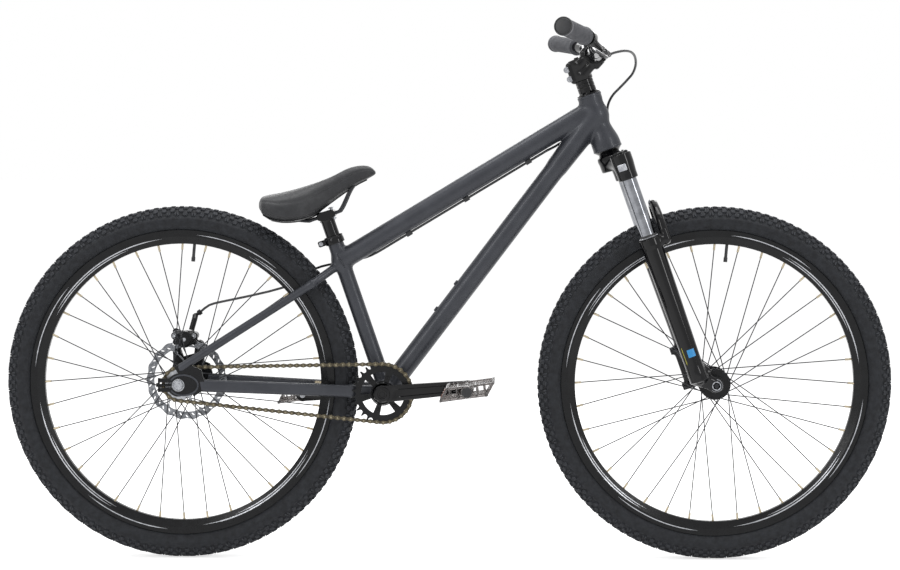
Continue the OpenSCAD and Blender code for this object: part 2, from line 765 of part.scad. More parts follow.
// Seat
module seatpost() {
    color("black") difference() {
        rod(post_top - seatpost_len * seat_dir, post_top - 4 * seat_dir, seatpost_d / 2);
        rod(post_top - (seatpost_len + 1) * seat_dir, post_top - 30 * seat_dir, seatpost_d / 2 - 2.5);
    }
}
rail_mid = saddle_origin + [clamp_ahead, 0, rail_height(clamp_ahead)];
module on_rails() {
    translate(rail_mid) rotate([0, -rail_tilt, 0]) children();
}
clamp_bolt_x = 12;
module saddle_clamp() {
    color("black") difference() {
        union() {
            on_rails() translate([-19, -rail_y - 6, -9]) cube([38, 2 * rail_y + 12, 18]);
            rod(post_top - 3.9 * seat_dir, post_top + 8 * seat_dir, seatpost_d / 2);
        }
        both_sides() on_rails() translate([-60, rail_y, 0]) rotate([0, 90, 0])
            cylinder(h = 120, r = rail_r + fit);
        for (x = [-clamp_bolt_x, clamp_bolt_x]) on_rails() {
            translate([x, 0, -40]) cylinder(h = 80, r = 3 + fit);
            translate([x, 0, -40]) cylinder(h = 31, r = 5.2);
        }
    }
    color("silver") for (x = [-clamp_bolt_x, clamp_bolt_x]) on_rails() {
        translate([x, 0, -10]) cylinder(h = 21, r = 3);
        translate([x, 0, -13]) cylinder(h = 4 - skin, r = 5);
    }
}
function on_rail(x) = [x, rail_y, rail_height(x)];
rail_path = [
    [-88, 28, -5], [-80, 27, -18], [-66, 25, -28], on_rail(-46), on_rail(-20), on_rail(-12),
    on_rail(38), on_rail(44), [62, 17, 12], [78, 12, 34], [86, 10, 57],
];
module saddle_rail(grow) {
    translate(saddle_origin) swept_tube(smooth(rail_path, 2), rail_r + grow, 12);
}
module saddle_rails() {
    color("black") both_sides() saddle_rail(0);
}
// One ring of the saddle: a domed top over a rounded edge, on a flatter bottom
function saddle_ring(st) =
    let (w = saddle_w / 2 * st[1], top = st[2], edge = st[3], low = st[4])
        [for (k = [0 : 31]) let (a = 360 * k / 32, c = cos(a), s = sin(a),
            y = w * sign(c) * pow(abs(c), 0.75),
            z = s >= 0 ? edge + (top - edge) * pow(s, 0.8) : edge + (low - edge) * pow(-s, 0.6))
            [st[0], y, z]];
// One ring of the space under the cover, from a height under the edge down to a floor
base_inset = 7;
base_t = 4;
function base_ring(st, inset, top, floor) =
    let (w = saddle_w / 2 * st[1] - inset)
        [[st[0], w, st[3] - top], [st[0], -w, st[3] - top], [st[0], -w, floor], [st[0], w, floor]];
base_stations = [for (st = saddle_stations) if (st[0] > -103 && st[0] < 100) st];
module saddle_base() {
    color("black") difference() {
        translate(saddle_origin)
            loft([for (st = base_stations) base_ring(st, base_inset + gap, 2 + skin, st[3] - 2 - base_t)]);
        both_sides() saddle_rail(fit);
    }
}
module saddle_cover() {
    color([0.2, 0.2, 0.21]) difference() {
        translate(saddle_origin) loft([for (st = saddle_stations) saddle_ring(st)]);
        translate(saddle_origin) loft([for (st = base_stations) base_ring(st, base_inset, 2, -80)]);
    }
}

// Fork
module crown_outline() {
    circle(r = 26);
    for (side = [-1, 1]) {
        translate([crown_offset, side * leg_y]) circle(r = stanchion_r + 5.5);
        polygon([
            [-24, 10 * side], [crown_offset - stanchion_r - 3, side * leg_y],
            [crown_offset, side * (leg_y + stanchion_r)],
            [crown_offset + stanchion_r + 3, side * leg_y], [25, 8 * side],
        ]);
    }
}
module fork_crown() {
    color("black") difference() {
        on_steer() {
            translate([0, 0, crown_mid_low]) linear_extrude(crown_h) crown_outline();
            translate([0, 0, crown_mid_low + crown_h])
                cylinder(h = crown_height - crown_mid_low - crown_h, r1 = 26, r2 = 21);
            for (side = [-1, 1]) translate([crown_offset, side * leg_y, crown_low])
                cylinder(h = crown_mid_low + crown_h - crown_low, r = stanchion_r + 5.5);
            translate([0, 0, crown_height])
                cylinder(h = head_low - crown_height - gap, r1 = 21, r2 = head_low_d / 2 - 1);
            translate([0, 0, crown_height]) cylinder(h = 14, r = race_r);
            translate([0, 0, crown_height])
                cylinder(h = stem_low + stem_h - crown_height - 3, r = steerer_r);
        }
        on_steer() for (side = [-1, 1]) translate([crown_offset, side * leg_y, crown_low - 1])
            cylinder(h = crown_mid_low + crown_h - crown_low - 3, r = stanchion_r + fit);
        on_steer() translate([0, 0, crown_mid_low - 1]) cylinder(h = 400, r = steerer_r - 3);
    }
}
module stanchions() {
    color("silver") on_steer() for (side = [-1, 1])
        translate([crown_offset, side * leg_y, stanchion_low]) difference() {
            cylinder(h = stanchion_len, r = stanchion_r);
            translate([0, 0, -1]) cylinder(h = stanchion_len - 12, r = stanchion_r - 2);
        }
}
module headset_spacers() {
    color("black") on_steer() difference() {
        union() {
            translate([0, 0, head_top + gap]) cylinder(h = 6 - gap, r1 = head_top_d / 2, r2 = 17.5);
            translate([0, 0, head_top + 6]) cylinder(h = spacer_h, r = 17.5);
        }
        translate([0, 0, head_top - 1]) cylinder(h = 60, r = steerer_r + fit);
    }
}
module headset_top_cap() {
    color("black") on_steer(s = stem_low + stem_h) {
        cylinder(h = 3, r = 17);
        translate([0, 0, 3]) cylinder(h = 3, r = 5);
        translate([0, 0, -40]) cylinder(h = 41, r = 3);
        translate([0, 0, -42]) cylinder(h = 4, r = steerer_r - 3 - fit);
    }
}
// Places children with +X pointing up the stem and the origin at the bar
module at_bar() {
    on_steer(n = bar_n, s = bar_s) rotate([0, -stem_rise, 0]) children();
}
stem_w = 46;
clamp_r = bar_clamp_d / 2 + 4.5;
screw_out = clamp_r - 1;
module stem() {
    color("black") difference() {
        union() {
            on_steer(s = stem_low) cylinder(h = stem_h, r = stem_r);
            on_steer(n = -stem_r - 2, s = stem_low + stem_h / 2 - 1)
                cube([20, 24, stem_h - 4], center = true);
            at_bar() translate([-stem_len, -18, -14]) cube([stem_len - 10, 36, 28]);
            at_bar() intersection() {
                union() {
                    across(0, 0, -stem_w / 2, stem_w / 2, clamp_r);
                    translate([-20, -stem_w / 2, -screw_out - 4]) cube([20, stem_w, 2 * screw_out + 8]);
                }
                translate([-60, -50, -50]) cube([60 - face_gap / 2, 100, 100]);
            }
        }
        on_steer(s = stem_low - 1) cylinder(h = stem_h + 2, r = steerer_r + fit);
        on_steer(s = stem_low + stem_h) cylinder(h = 20, r = 17.3);
        at_bar() across(0, 0, -60, 60, bar_clamp_d / 2 + fit);
        on_steer(n = -stem_r - 8, s = stem_low + stem_h / 2) cube([24, 2, stem_h + 2], center = true);
        at_bar() for (y = [-16, 16]) for (z = [-screw_out, screw_out])
            translate([-18, y, z]) rotate([0, 90, 0]) cylinder(h = 30, r = 2.5 + fit);
        for (z = [10, 29]) stem_clamp_hole(z, 0.05);
        on_steer(n = -stem_r - 7, s = stem_low + stem_h) rotate([0, 35, 0])
            cube([20, 60, 16], center = true);
    }
}
module stem_clamp_hole(z, grow) {
    on_steer(n = -stem_r - 6, s = stem_low + z) across(0, 0, -11, 12, 2.5 + grow);
    on_steer(n = -stem_r - 6, s = stem_low + z) across(0, 0, -16, -11, 4.2 + grow);
}
module stem_faceplate() {
    color("black") at_bar() difference() {
        intersection() {
            union() {
                across(0, 0, -stem_w / 2, stem_w / 2, clamp_r);
                translate([0, -stem_w / 2, -screw_out - 4]) cube([8, stem_w, 2 * screw_out + 8]);
            }
            translate([face_gap / 2, -50, -50]) cube([60, 100, 100]);
        }
        across(0, 0, -60, 60, bar_clamp_d / 2 + fit);
        for (y = [-16, 16]) for (z = [-screw_out, screw_out])
            translate([-18, y, z]) rotate([0, 90, 0]) {
                cylinder(h = 40, r = 2.5 + fit);
                translate([0, 0, 26]) cylinder(h = 30, r = 4.3);
            }
        translate([10, -7, -30]) cube([20, 14, 60]);
    }
}
module stem_bolts() {
    color("silver") {
        at_bar() for (y = [-16, 16]) for (z = [-screw_out, screw_out])
            translate([-17, y, z]) rotate([0, 90, 0]) {
                cylinder(h = 25, r = 2.5);
                translate([0, 0, 25]) cylinder(h = 4, r = 4.2);
            }
        for (z = [10, 29]) stem_clamp_hole(z, 0);
    }
}
// Points on a curve that rounds the corner at q
function rounded(p, q, r, reach) = [
    for (k = [0 : 5]) let (t = k / 5, a = q - reach * unit(q - p), b = q + reach * unit(r - q))
        (1 - t) * (1 - t) * a + 2 * t * (1 - t) * q + t * t * b,
];
bar_knee = [bar_n, bar_taper + 16, bar_s];
half_bar = concat(
    [[bar_n, 0, bar_s], [bar_n, bar_flat, bar_s], [bar_n, bar_taper, bar_s]],
    rounded([bar_n, bar_taper, bar_s], bar_knee, bar_bend, 12),
    rounded(bar_knee, bar_bend, bar_end, 6),
    [bar_end]
);
function mirror_y(v) = [v[0], -v[1], v[2]];
module bar_solid() {
    n = len(half_bar);
    pts = concat([for (i = [n - 1 : -1 : 1]) mirror_y(half_bar[i])], half_bar);
    loft([
        for (i = [0 : len(pts) - 1])
            let (from_mid = abs(i - (n - 1)), r = (from_mid < 2 ? bar_clamp_d : bar_d) / 2,
                t = tangent(pts, i), u = unit(cross(t, [1, 0, 0])), v = cross(t, u))
                [for (k = [0 : 31]) pts[i] + r * (cos(11.25 * k) * u - sin(11.25 * k) * v)]
    ]);
}
module handlebar() {
    color("dimgray") on_steer() bar_solid();
}
grip_lip_r = grip_d / 2 + 1.4;
module grips() {
    color([0.2, 0.2, 0.21]) on_steer() both_sides() difference() {
        union() {
            rod(bar_end - grip_len * grip_dir, bar_end, grip_d / 2);
            rod(bar_end - grip_len * grip_dir, bar_end - (grip_len - 4) * grip_dir, grip_lip_r);
            rod(bar_end - 4 * grip_dir, bar_end, grip_lip_r);
        }
        rod(bar_end - (grip_len + 1) * grip_dir, bar_end + grip_dir, bar_d / 2 + fit);
    }
}
module bar_end_plugs() {
    color("black") on_steer() both_sides() rod(bar_end, bar_end + 3 * grip_dir, grip_d / 2 - 1);
}
// Places children at the right lever: +X ahead and down to the pivot, +Y outboard along the bar
module at_lever() {
    on_steer() mirror([0, 1, 0]) translate(lever_at) rotate([0, 0, sweep]) rotate([upsweep, 0, 0])
        rotate([0, lever_drop, 0]) children();
}
module lever_bracket() {
    color("black") difference() {
        union() {
            at_lever() across(0, 0, -9, 9, bar_d / 2 + 4);
            at_lever() translate([8, -9, -7]) cube([lever_reach - 8, 18, 14]);
            at_lever() across(lever_reach, 0, -9, 9, 8);
            at_lever() translate([lever_reach - 14, -30, -5.5]) cube([18, 24, 11]);
            at_lever() translate([lever_reach - 5, -30, 0]) rotate([90, 0, 0]) cylinder(h = 14, r = 5.2);
        }
        at_lever() across(0, 0, -20, 20, bar_d / 2 + fit);
        at_lever() translate([lever_reach, 6, -20]) cylinder(h = 40, r = lever_pin_r + fit);
        at_lever() translate([lever_reach - 9, -4, -3.5]) cube([30, 30, 7]);
    }
    color("silver") at_lever() translate([lever_reach, 6, -8]) cylinder(h = 16, r = lever_pin_r);
}
lever_plate_t = 6.4;
// Middle line of the lever blade from its pivot, with half widths
blade_path = [
    [-6, -3, 3], [0, 0, 7], [8, 10, 6.6], [13, 20, 5.6], [12, 34, 5], [9, 50, 4.6], [6, 66, 4.4],
    [5, 78, 4.4], [8, 88, 4.8], [13, 95, 4.6], [17, 99, 2.4],
];
function blade_side(side) = [
    for (i = [0 : len(blade_path) - 1])
        let (p = blade_path[i], a = blade_path[max(i - 1, 0)],
            b = blade_path[min(i + 1, len(blade_path) - 1)],
            t = unit([b[0] - a[0], b[1] - a[1]]))
            [p[0] - side * p[2] * t[1], p[1] + side * p[2] * t[0]]
];
module brake_lever() {
    left = blade_side(1);
    right = blade_side(-1);
    color("black") difference() {
        at_lever() translate([lever_reach, 6, -lever_plate_t / 2]) linear_extrude(lever_plate_t)
            polygon(concat(left, [for (i = [len(right) - 1 : -1 : 0]) right[i]]));
        at_lever() translate([lever_reach, 6, -20]) cylinder(h = 40, r = lever_pin_r + 2 * fit);
    }
}
module fork_lowers() {
    color("black") difference() {
        on_steer() {
            for (side = [-1, 1]) {
                translate([crown_offset, side * leg_y, leg_bottom])
                    cylinder(h = leg_top - leg_bottom, r1 = leg_low_r, r2 = leg_top_r);
                translate([crown_offset, side * leg_y, leg_bottom]) sphere(r = leg_low_r);
            }
            both_sides() translate([0, front_hub_w / 2 + 9, 0]) rotate([90, 0, 0]) linear_extrude(9) {
                translate([fork_offset, 0]) circle(r = 14);
                polygon([[0, 26], [2, 60], [34, 62], [40, 32], [57, 4], [40, -13.4], [30, 2]]);
            }
            arch();
            // Brake posts on the left leg
            for (s = [post_low, post_low + post_gap]) translate([crown_offset, leg_y - 6, s])
                rotate([0, -90, 0]) cylinder(h = 30, r = 7.5);
            translate([-8, leg_y - 12, post_low - 4]) cube([16, 10, post_gap + 8]);
            translate([0, leg_y - 12, post_low - 4]) cube([29, 10, 34]);
        }
        on_steer() for (side = [-1, 1]) translate([crown_offset, side * leg_y, leg_bottom + 6])
            cylinder(h = leg_top, r = stanchion_r + 0.08);
        on_steer() for (side = [-1, 1]) translate([crown_offset, side * leg_y, leg_top - 6])
            cylinder(h = 10, r = stanchion_r + 2.5);
        on_steer() for (s = [post_low, post_low + post_gap]) translate([crown_offset - 12, leg_y - 6, s])
            rotate([0, -90, 0]) cylinder(h = 30, r = post_bore_r);
        on_steer() translate([fork_offset, 0, 0]) rotate([90, 0, 0])
            cylinder(h = 300, r = front_axle_d / 2 + fit, center = true);
        on_steer() translate([fork_offset, 0, -10]) cube([front_axle_d + 0.1, 300, 20], center = true);
    }
}
module arch() {
    translate([arch_back, 0, arch_mid_s]) rotate([90, 0, 90]) linear_extrude(arch_t) difference() {
        union() {
            circle(r = arch_r, $fn = 96);
            for (side = [-1, 1]) translate([side * (arch_r + arch_in_r) / 2 - 12, -14]) square([24, 14]);
        }
        circle(r = arch_in_r, $fn = 96);
        translate([-arch_in_r, -arch_r]) square([2 * arch_in_r, arch_r]);
        translate([-200, -214]) square([400, 200]);
        for (side = [-1, 1]) translate([side * (arch_r + 20) - 20, -100]) square([40, 100.01]);
    }
    for (side = [-1, 1]) translate([crown_offset, side * (leg_y + 3) - 9, arch_mid_s - 14])
        cube([arch_back - crown_offset + 6, 18, 24]);
}
module fork_seals() {
    color("black") on_steer() for (side = [-1, 1])
        translate([crown_offset, side * leg_y, leg_top - 6]) difference() {
        union() {
            cylinder(h = 6, r = stanchion_r + 2.5 - fit);
            translate([0, 0, 6 + fit]) cylinder(h = 4, r = leg_top_r - 1);
            translate([0, 0, 5.5]) cylinder(h = 2, r = stanchion_r + 2.3);
        }
        translate([0, 0, -1]) cylinder(h = 20, r = stanchion_r + 0.08);
    }
}
module front_axle() {
    end = front_hub_w / 2 + 9;
    color("silver") {
        across(front[0], front[2], -end - 8, end + 8, front_axle_d / 2);
        both_sides() difference() {
            union() {
                across(front[0], front[2], end, end + 2, 12);
                across(front[0], front[2], end + 2, end + 8, 8.5);
                across(front[0], front[2], front_hub_w / 2 - 5, front_hub_w / 2, 8.5);
            }
            across(front[0], front[2], 0, end + 20, front_axle_d / 2 + fit);
        }
    }
}

// Wheels
casing_t = 2.5;
casing_r = tyre_w / 2;
casing_mid = wheel_r - casing_r;
rim_flange_r = bead_seat_d / 2 + 5;
rim_edge = rim_flange_r + 1;
bead_low = bead_seat_d / 2 + 0.2;
foot_y = rim_w / 2 - rim_wall - fit;
out_a = acos((rim_edge - casing_mid) / casing_r) - 2;
in_a = acos((rim_edge + 3 - casing_mid) / (casing_r - casing_t));
module tyre() {
    steps = 36;
    inner_r = casing_r - casing_t;
    spin_y() polygon(concat(
        [for (k = [0 : steps]) let (a = out_a - 2 * out_a * k / steps)
            [casing_mid + casing_r * cos(a), casing_r * sin(a)]],
        [[rim_edge, -foot_y], [bead_low, -foot_y], [bead_low, 4 - foot_y], [rim_edge, 3 - foot_y]],
        [for (k = [0 : steps]) let (a = -in_a + 2 * in_a * k / steps)
            [casing_mid + inner_r * cos(a), inner_r * sin(a)]],
        [[rim_edge, foot_y - 3], [bead_low, foot_y - 4], [bead_low, foot_y], [rim_edge, foot_y]]
    ));
}
module rim() {
    half = rim_w / 2;
    seat_r = bead_seat_d / 2;
    low_r = rim_inner_d / 2;
    difference() {
        spin_y() {
            polygon([
                [low_r, -6], [seat_r - 8, -half + 1], [rim_flange_r, -half],
                [rim_flange_r, -half + rim_wall],
                [seat_r, -half + rim_wall], [seat_r, -8], [seat_r - 4, -6], [seat_r - 4, 6], [seat_r, 8],
                [seat_r, half - rim_wall], [rim_flange_r, half - rim_wall], [rim_flange_r, half],
                [seat_r - 8, half - 1], [low_r, 6],
            ]);
        }
        spin_y() polygon([
            [low_r + rim_wall, -5], [seat_r - 8, -half + 1 + rim_wall],
            [seat_r - 4 - rim_wall, -half + rim_wall + 1],
            [seat_r - 4 - rim_wall, half - rim_wall - 1], [seat_r - 8, half - 1 - rim_wall],
            [low_r + rim_wall, 5],
        ]);
    }
}
nipple_len = 12;
spoke_top = rim_inner_d / 2 - 0.05;
hub_hole_r = flange_d / 2 - 4;
cross_turn = 360 * 3 / (spoke_count / 2);
// How far an outer spoke stands off its flange at its head, so that it clears the flange's edge
spoke_stand = 0.95;
module spokes(flange_y) {
    for (side = [-1, 1]) for (i = [0 : spoke_count / 2 - 1]) {
        lead = i % 2 == 0 ? 1 : -1;
        hub_a = (i + (side > 0 ? 0.5 : 0)) * 720 / spoke_count;
        rim_a = hub_a + lead * cross_turn;
        stand = lead == side ? spoke_stand : 0;
        y_hub = side * (flange_y + flange_t / 2) + lead * (flange_t / 2 + spoke_d / 2 + stand);
        y_rim = side * 3.5 + lead * 1.2;
        p = [hub_hole_r * cos(hub_a), y_hub, hub_hole_r * sin(hub_a)];
        q = [spoke_top * cos(rim_a), y_rim, spoke_top * sin(rim_a)];
        t = 1 - nipple_len / norm(q - p);
        m = (1 - t) * p + t * q;
        rod(p, m + 0.2 * unit(q - p), spoke_d / 2);
        rod(m, q, spoke_d / 2 + 1.1);
    }
}
module hub(low_y, flange_y, disc_y, bearing_y) {
    difference() {
        union() {
            across(0, 0, low_y, disc_y, hub_barrel_d / 2);
            for (side = [-1, 1]) across(0, 0, side * (flange_y + flange_t / 2) - flange_t / 2,
                side * (flange_y + flange_t / 2) + flange_t / 2, flange_d / 2);
            across(0, 0, disc_y - 5, disc_y, rotor_pcd / 2 + 6);
        }
        across(0, 0, -bearing_y, bearing_y, 9);
        across(0, 0, -bearing_y - 20, -bearing_y + 6, bearing_r);
        across(0, 0, bearing_y - 6, bearing_y + 20, bearing_r);
        for (k = [0 : 5]) translate([rotor_pcd / 2 * cos(60 * k), 0, rotor_pcd / 2 * sin(60 * k)])
            across(0, 0, disc_y - 12, disc_y + 1, rotor_thread_r);
    }
}
rotor_thread_r = 2.1;
module hub_bearings(mid_y, axle_r) {
    both_sides() difference() {
        across(0, 0, mid_y - 5.9, mid_y + 5.9, bearing_r - fit);
        across(0, 0, mid_y - 7, mid_y + 7, axle_r + fit);
    }
}
front_bearing_y = front_hub_w / 2 - 17;
rear_bearing_y = rear_hub_w / 2 - 22;
module at_front() {
    translate(front) children();
}
module at_rear() {
    translate(rear) children();
}
module front_tyre() {
    color([0.13, 0.13, 0.13]) at_front() tyre();
}
module front_rim() {
    color("black") at_front() rim_with_valve_hole();
}
module rim_with_valve_hole() {
    difference() {
        rim();
        rotate([0, valve_turn, 0]) cylinder(h = 400, r = valve_r + fit);
    }
}
valve_turn = 5;
valve_r = 3;
module valve() {
    rotate([0, valve_turn, 0]) {
        translate([0, 0, rim_inner_d / 2 - 26])
            cylinder(h = bead_seat_d / 2 - rim_inner_d / 2 + 26, r = valve_r);
        translate([0, 0, bead_seat_d / 2]) cylinder(h = 2, r = 7);
        translate([0, 0, rim_inner_d / 2 - 34]) cylinder(h = 9, r = 3.8);
    }
}
module front_spokes() {
    color("black") at_front() spokes(front_flange_y);
}
module front_hub() {
    color("black") at_front() hub(7 - front_hub_w / 2, front_flange_y, front_rotor_y, front_bearing_y);
}
module front_hub_bearings() {
    color("silver") at_front() hub_bearings(front_bearing_y, front_axle_d / 2);
}
module front_valve() {
    color("black") at_front() valve();
}
module rear_tyre() {
    color([0.13, 0.13, 0.13]) at_rear() tyre();
}
module rear_rim() {
    color("black") at_rear() rim_with_valve_hole();
}
module rear_spokes() {
    color("black") at_rear() spokes(rear_flange_y);
}
module rear_hub() {
    color("black") at_rear() {
        hub(-cog_inner + 1, rear_flange_y, rotor_y - rotor_t / 2, rear_bearing_y);
        // Body that the cog runs on
        difference() {
            across(0, 0, -chain_line - 8, -cog_inner + 2, cog_bore_r - fit);
            across(0, 0, -80, 0, bearing_r);
        }
    }
}
cog_inner = chain_line - 6;
module rear_hub_bearings() {
    color("silver") at_rear() hub_bearings(rear_bearing_y, rear_axle_d / 2);
}
module rear_valve() {
    color("black") at_rear() valve();
}
rotor_band = 14;
module brake_rotor() {
    color("silver") translate(rear) {
        plate(rotor_y - rotor_t / 2, rotor_y + rotor_t / 2) difference() {
            union() {
                difference() {
                    circle(r = rotor_d / 2, $fn = 96);
                    circle(r = rotor_d / 2 - rotor_band, $fn = 96);
                }
                difference() {
                    circle(r = rotor_pcd / 2 + 6, $fn = 64);
                    circle(r = rotor_pcd / 2 - 5, $fn = 64);
                }
                for (k = [0 : 5]) rotate(60 * k) translate([rotor_pcd / 2, -3]) rotate(-24)
                    square([rotor_d / 2 - rotor_pcd / 2 - 6, 5]);
            }
            for (k = [0 : 5]) rotate(60 * k) translate([rotor_pcd / 2, 0]) circle(r = rotor_bolt_r + fit);
            for (k = [0 : 23]) rotate(15 * k)
                translate([rotor_d / 2 - 4 - 3 * (k % 2), 0]) circle(r = 2.4, $fn = 16);
        }
        for (k = [0 : 5]) translate([rotor_pcd / 2 * cos(60 * k), 0, rotor_pcd / 2 * sin(60 * k)]) {
            across(0, 0, rotor_y - 10, rotor_y + rotor_t / 2 + 0.01, rotor_thread_r - fit);
            across(0, 0, rotor_y + rotor_t / 2 + 0.01, rotor_y + rotor_t / 2 + 2.6, 4);
        }
    }
}
cog_bore_r = 15;
module cog() {
    cog_lead = ceil((ring_arc + run_len) / link_step) * link_step - ring_arc - run_len;
    first = cog_start - 360 * cog_lead / (2 * PI * cog_r);
    color("silver") translate(rear) difference() {
        union() {
            plate(-chain_line - 1.3, -chain_line + 1.3) toothed_disc(cog_r, cog_teeth, first);
            across(0, 0, -chain_line - 7, -cog_inner, 22);
        }
        across(0, 0, -80, 0, cog_bore_r);
    }
}

// Crank set and pedals
module at_crank() {
    translate(bb) rotate([0, -crank_angle, 0]) children();
}
module one_arm(sign) {
    difference() {
        at_crank() plate(sign > 0 ? arm_in : -arm_in - arm_t, sign > 0 ? arm_in + arm_t : -arm_in)
            mirror([sign > 0 ? 1 : 0, 0]) arm_outline(crank_len, arm_big_r, arm_small_r);
        across(bb[0], bb[2], sign * arm_mid - arm_t, sign * arm_mid + arm_t, spindle_r + fit);
        at_crank()
            across(-sign * crank_len, 0,
                sign * arm_mid - arm_t, sign * arm_mid + arm_t, pedal_axle_r + 1 + fit);
    }
}
module crank_arms() {
    color("black") {
        one_arm(1);
        one_arm(-1);
    }
}
module crank_spindle() {
    color("silver") {
        across(bb[0], bb[2], -arm_in - arm_t, arm_in + arm_t, spindle_r);
        both_sides() across(bb[0], bb[2], arm_in + arm_t, arm_in + arm_t + 2, spindle_r + 1.5);
    }
}
ring_window_in = 24;
ring_window_out = 42;
module chainring() {
    color("black") translate(bb) difference() {
        union() {
            plate(-ring_y - ring_t / 2, -ring_y + ring_t / 2) difference() {
                toothed_disc(ring_r, ring_teeth, ring_start);
                for (k = [0 : 5]) rotate(crank_angle + 38 + 60 * k) ring_window();
            }
            across(0, 0, -arm_in + skin, -ring_y, 20);
        }
        across(0, 0, -80, 0, spindle_r + fit);
    }
}
module ring_window() {
    intersection() {
        difference() {
            circle(r = ring_window_out, $fn = 64);
            circle(r = ring_window_in, $fn = 64);
        }
        polygon([[8, -1], [60, -24], [60, 24], [8, 1]]);
    }
}
// An opening beside the pedal's tube: its outer side runs along the slanted end
function pedal_window(half, rise) =
    let (end = half - pedal_skew - pedal_wall, slant = pedal_skew / (2 * rise), reach = 20)
        [[15, -reach], [end + (rise - reach) * slant, -reach], [end + (rise + reach) * slant, reach], [15, reach]];
module pedal() {
    half = pedal_len / 2;
    rise = pedal_h / 2;
    difference() {
        union() {
            difference() {
                plate(-pedal_w / 2, pedal_w / 2)
                    polygon([
                        [-half, -rise], [half - pedal_skew, -rise], [half, rise], [-half + pedal_skew, rise],
                    ]);
                for (side = [-1, 1], y = [-1, 1])
                    let (y0 = y * (pedal_w / 4 + 0.5) - pedal_w / 4 + 5)
                        plate(y0, y0 + pedal_w / 2 - 9) polygon(side * pedal_window(half, rise));
            }
            across(0, 0, -pedal_w / 2, pedal_w / 2 + 6, 12.5);
        }
        across(0, 0, -pedal_w, pedal_w / 2 + 3, pedal_bore_r);
    }
}
module right_pedal() {
    color([0.75, 0.7, 0.68]) translate(right_pedal_at + [0, -pedal_mid, 0]) mirror([0, 1, 0])
        rotate([0, -pedal_tip, 0]) pedal();
}
module left_pedal() {
    color([0.75, 0.7, 0.68]) translate(left_pedal_at + [0, pedal_mid, 0])
        rotate([0, -pedal_tip, 0]) pedal();
}
module pedal_axles() {
    color("silver") {
        pedal_axle(right_pedal_at, -1);
        pedal_axle(left_pedal_at, 1);
    }
}
module pedal_axle(at, sign) {
    a = arm_in + 1;
    b = arm_in + arm_t + 3.5;
    c = pedal_in + pedal_w - 2;
    across(at[0], at[2], min(sign * a, sign * b), max(sign * a, sign * b), pedal_axle_r + 1);
    across(at[0], at[2], min(sign * b, sign * c), max(sign * b, sign * c), pedal_axle_r);
}

head_tube();
top_tube();
down_tube();
seat_tube();
bottom_bracket_shell();
chainstays();
seatstays();
dropouts();
headset_bearings();
bottom_bracket_cups();
seat_clamp();
chain_tensioners();
rear_axle();
cable_clips();
chain();
brake_housing();
brake_housing_loop();
caliper_body();
caliper_bolts();
brake_arm();
seatpost();
saddle_clamp();
saddle_rails();
saddle_base();
saddle_cover();
fork_crown();
stanchions();
headset_spacers();
headset_top_cap();
stem();
stem_faceplate();
stem_bolts();
handlebar();
grips();
bar_end_plugs();
lever_bracket();
brake_lever();
fork_lowers();
fork_seals();
front_axle();
front_tyre();
front_rim();
front_spokes();
front_hub();
front_hub_bearings();
front_valve();
rear_tyre();
rear_rim();
rear_spokes();
rear_hub();
rear_hub_bearings();
rear_valve();
brake_rotor();
cog();
crank_arms();
crank_spindle();
chainring();
right_pedal();
left_pedal();
pedal_axles();
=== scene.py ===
# Dirt jump bicycle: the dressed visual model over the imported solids.
# Sizes are in millimetres until a mesh is made, and in metres in Blender.
# +X is forward, +Y is the rider's left, +Z is up.
import json
import math

import bmesh
import bpy
import numpy as np
from mathutils import Matrix, Vector


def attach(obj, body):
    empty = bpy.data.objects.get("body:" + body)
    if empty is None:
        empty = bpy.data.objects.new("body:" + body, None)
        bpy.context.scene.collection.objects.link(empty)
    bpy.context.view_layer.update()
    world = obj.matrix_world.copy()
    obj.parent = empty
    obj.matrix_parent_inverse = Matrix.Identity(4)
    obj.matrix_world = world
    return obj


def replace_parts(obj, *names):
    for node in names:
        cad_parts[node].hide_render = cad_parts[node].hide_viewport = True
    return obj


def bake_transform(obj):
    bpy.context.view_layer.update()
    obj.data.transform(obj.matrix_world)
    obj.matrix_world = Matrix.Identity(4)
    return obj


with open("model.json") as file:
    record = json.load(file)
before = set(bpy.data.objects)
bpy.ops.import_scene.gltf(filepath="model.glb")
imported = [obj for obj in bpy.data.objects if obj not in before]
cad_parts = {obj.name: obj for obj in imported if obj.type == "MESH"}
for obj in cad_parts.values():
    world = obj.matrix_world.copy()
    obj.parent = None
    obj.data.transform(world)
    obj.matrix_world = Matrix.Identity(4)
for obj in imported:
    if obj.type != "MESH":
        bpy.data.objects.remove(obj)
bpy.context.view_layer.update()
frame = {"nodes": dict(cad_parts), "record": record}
nodes = frame["nodes"]
MM = 0.001

# camera
AZIMUTH = math.radians(1.393)
ELEVATION = math.radians(3.101)
DISTANCE = 4.8483
LENS = 2493.8 * 36 / 900
TARGET = Vector((0.00407, 0, 0.53284))
back = Vector((math.sin(AZIMUTH) * math.cos(ELEVATION),
               -math.cos(AZIMUTH) * math.cos(ELEVATION), math.sin(ELEVATION)))
camera_data = bpy.data.cameras.new("camera")
camera_data.sensor_width = 36
camera_data.lens = LENS
camera_data.clip_end = 200
camera = bpy.data.objects.new("camera", camera_data)
camera.location = TARGET + DISTANCE * back
camera.rotation_euler = (-back).to_track_quat("-Z", "Y").to_euler()
bpy.context.scene.collection.objects.link(camera)
bpy.context.scene.camera = camera
bpy.context.scene.view_settings.view_transform = "Standard"


# materials
def linear(hex_colour):
    out = []
    for i in (1, 3, 5):
        c = int(hex_colour[i:i + 2], 16) / 255
        out.append(c / 12.92 if c <= 0.04045 else ((c + 0.055) / 1.055) ** 2.4)
    return out


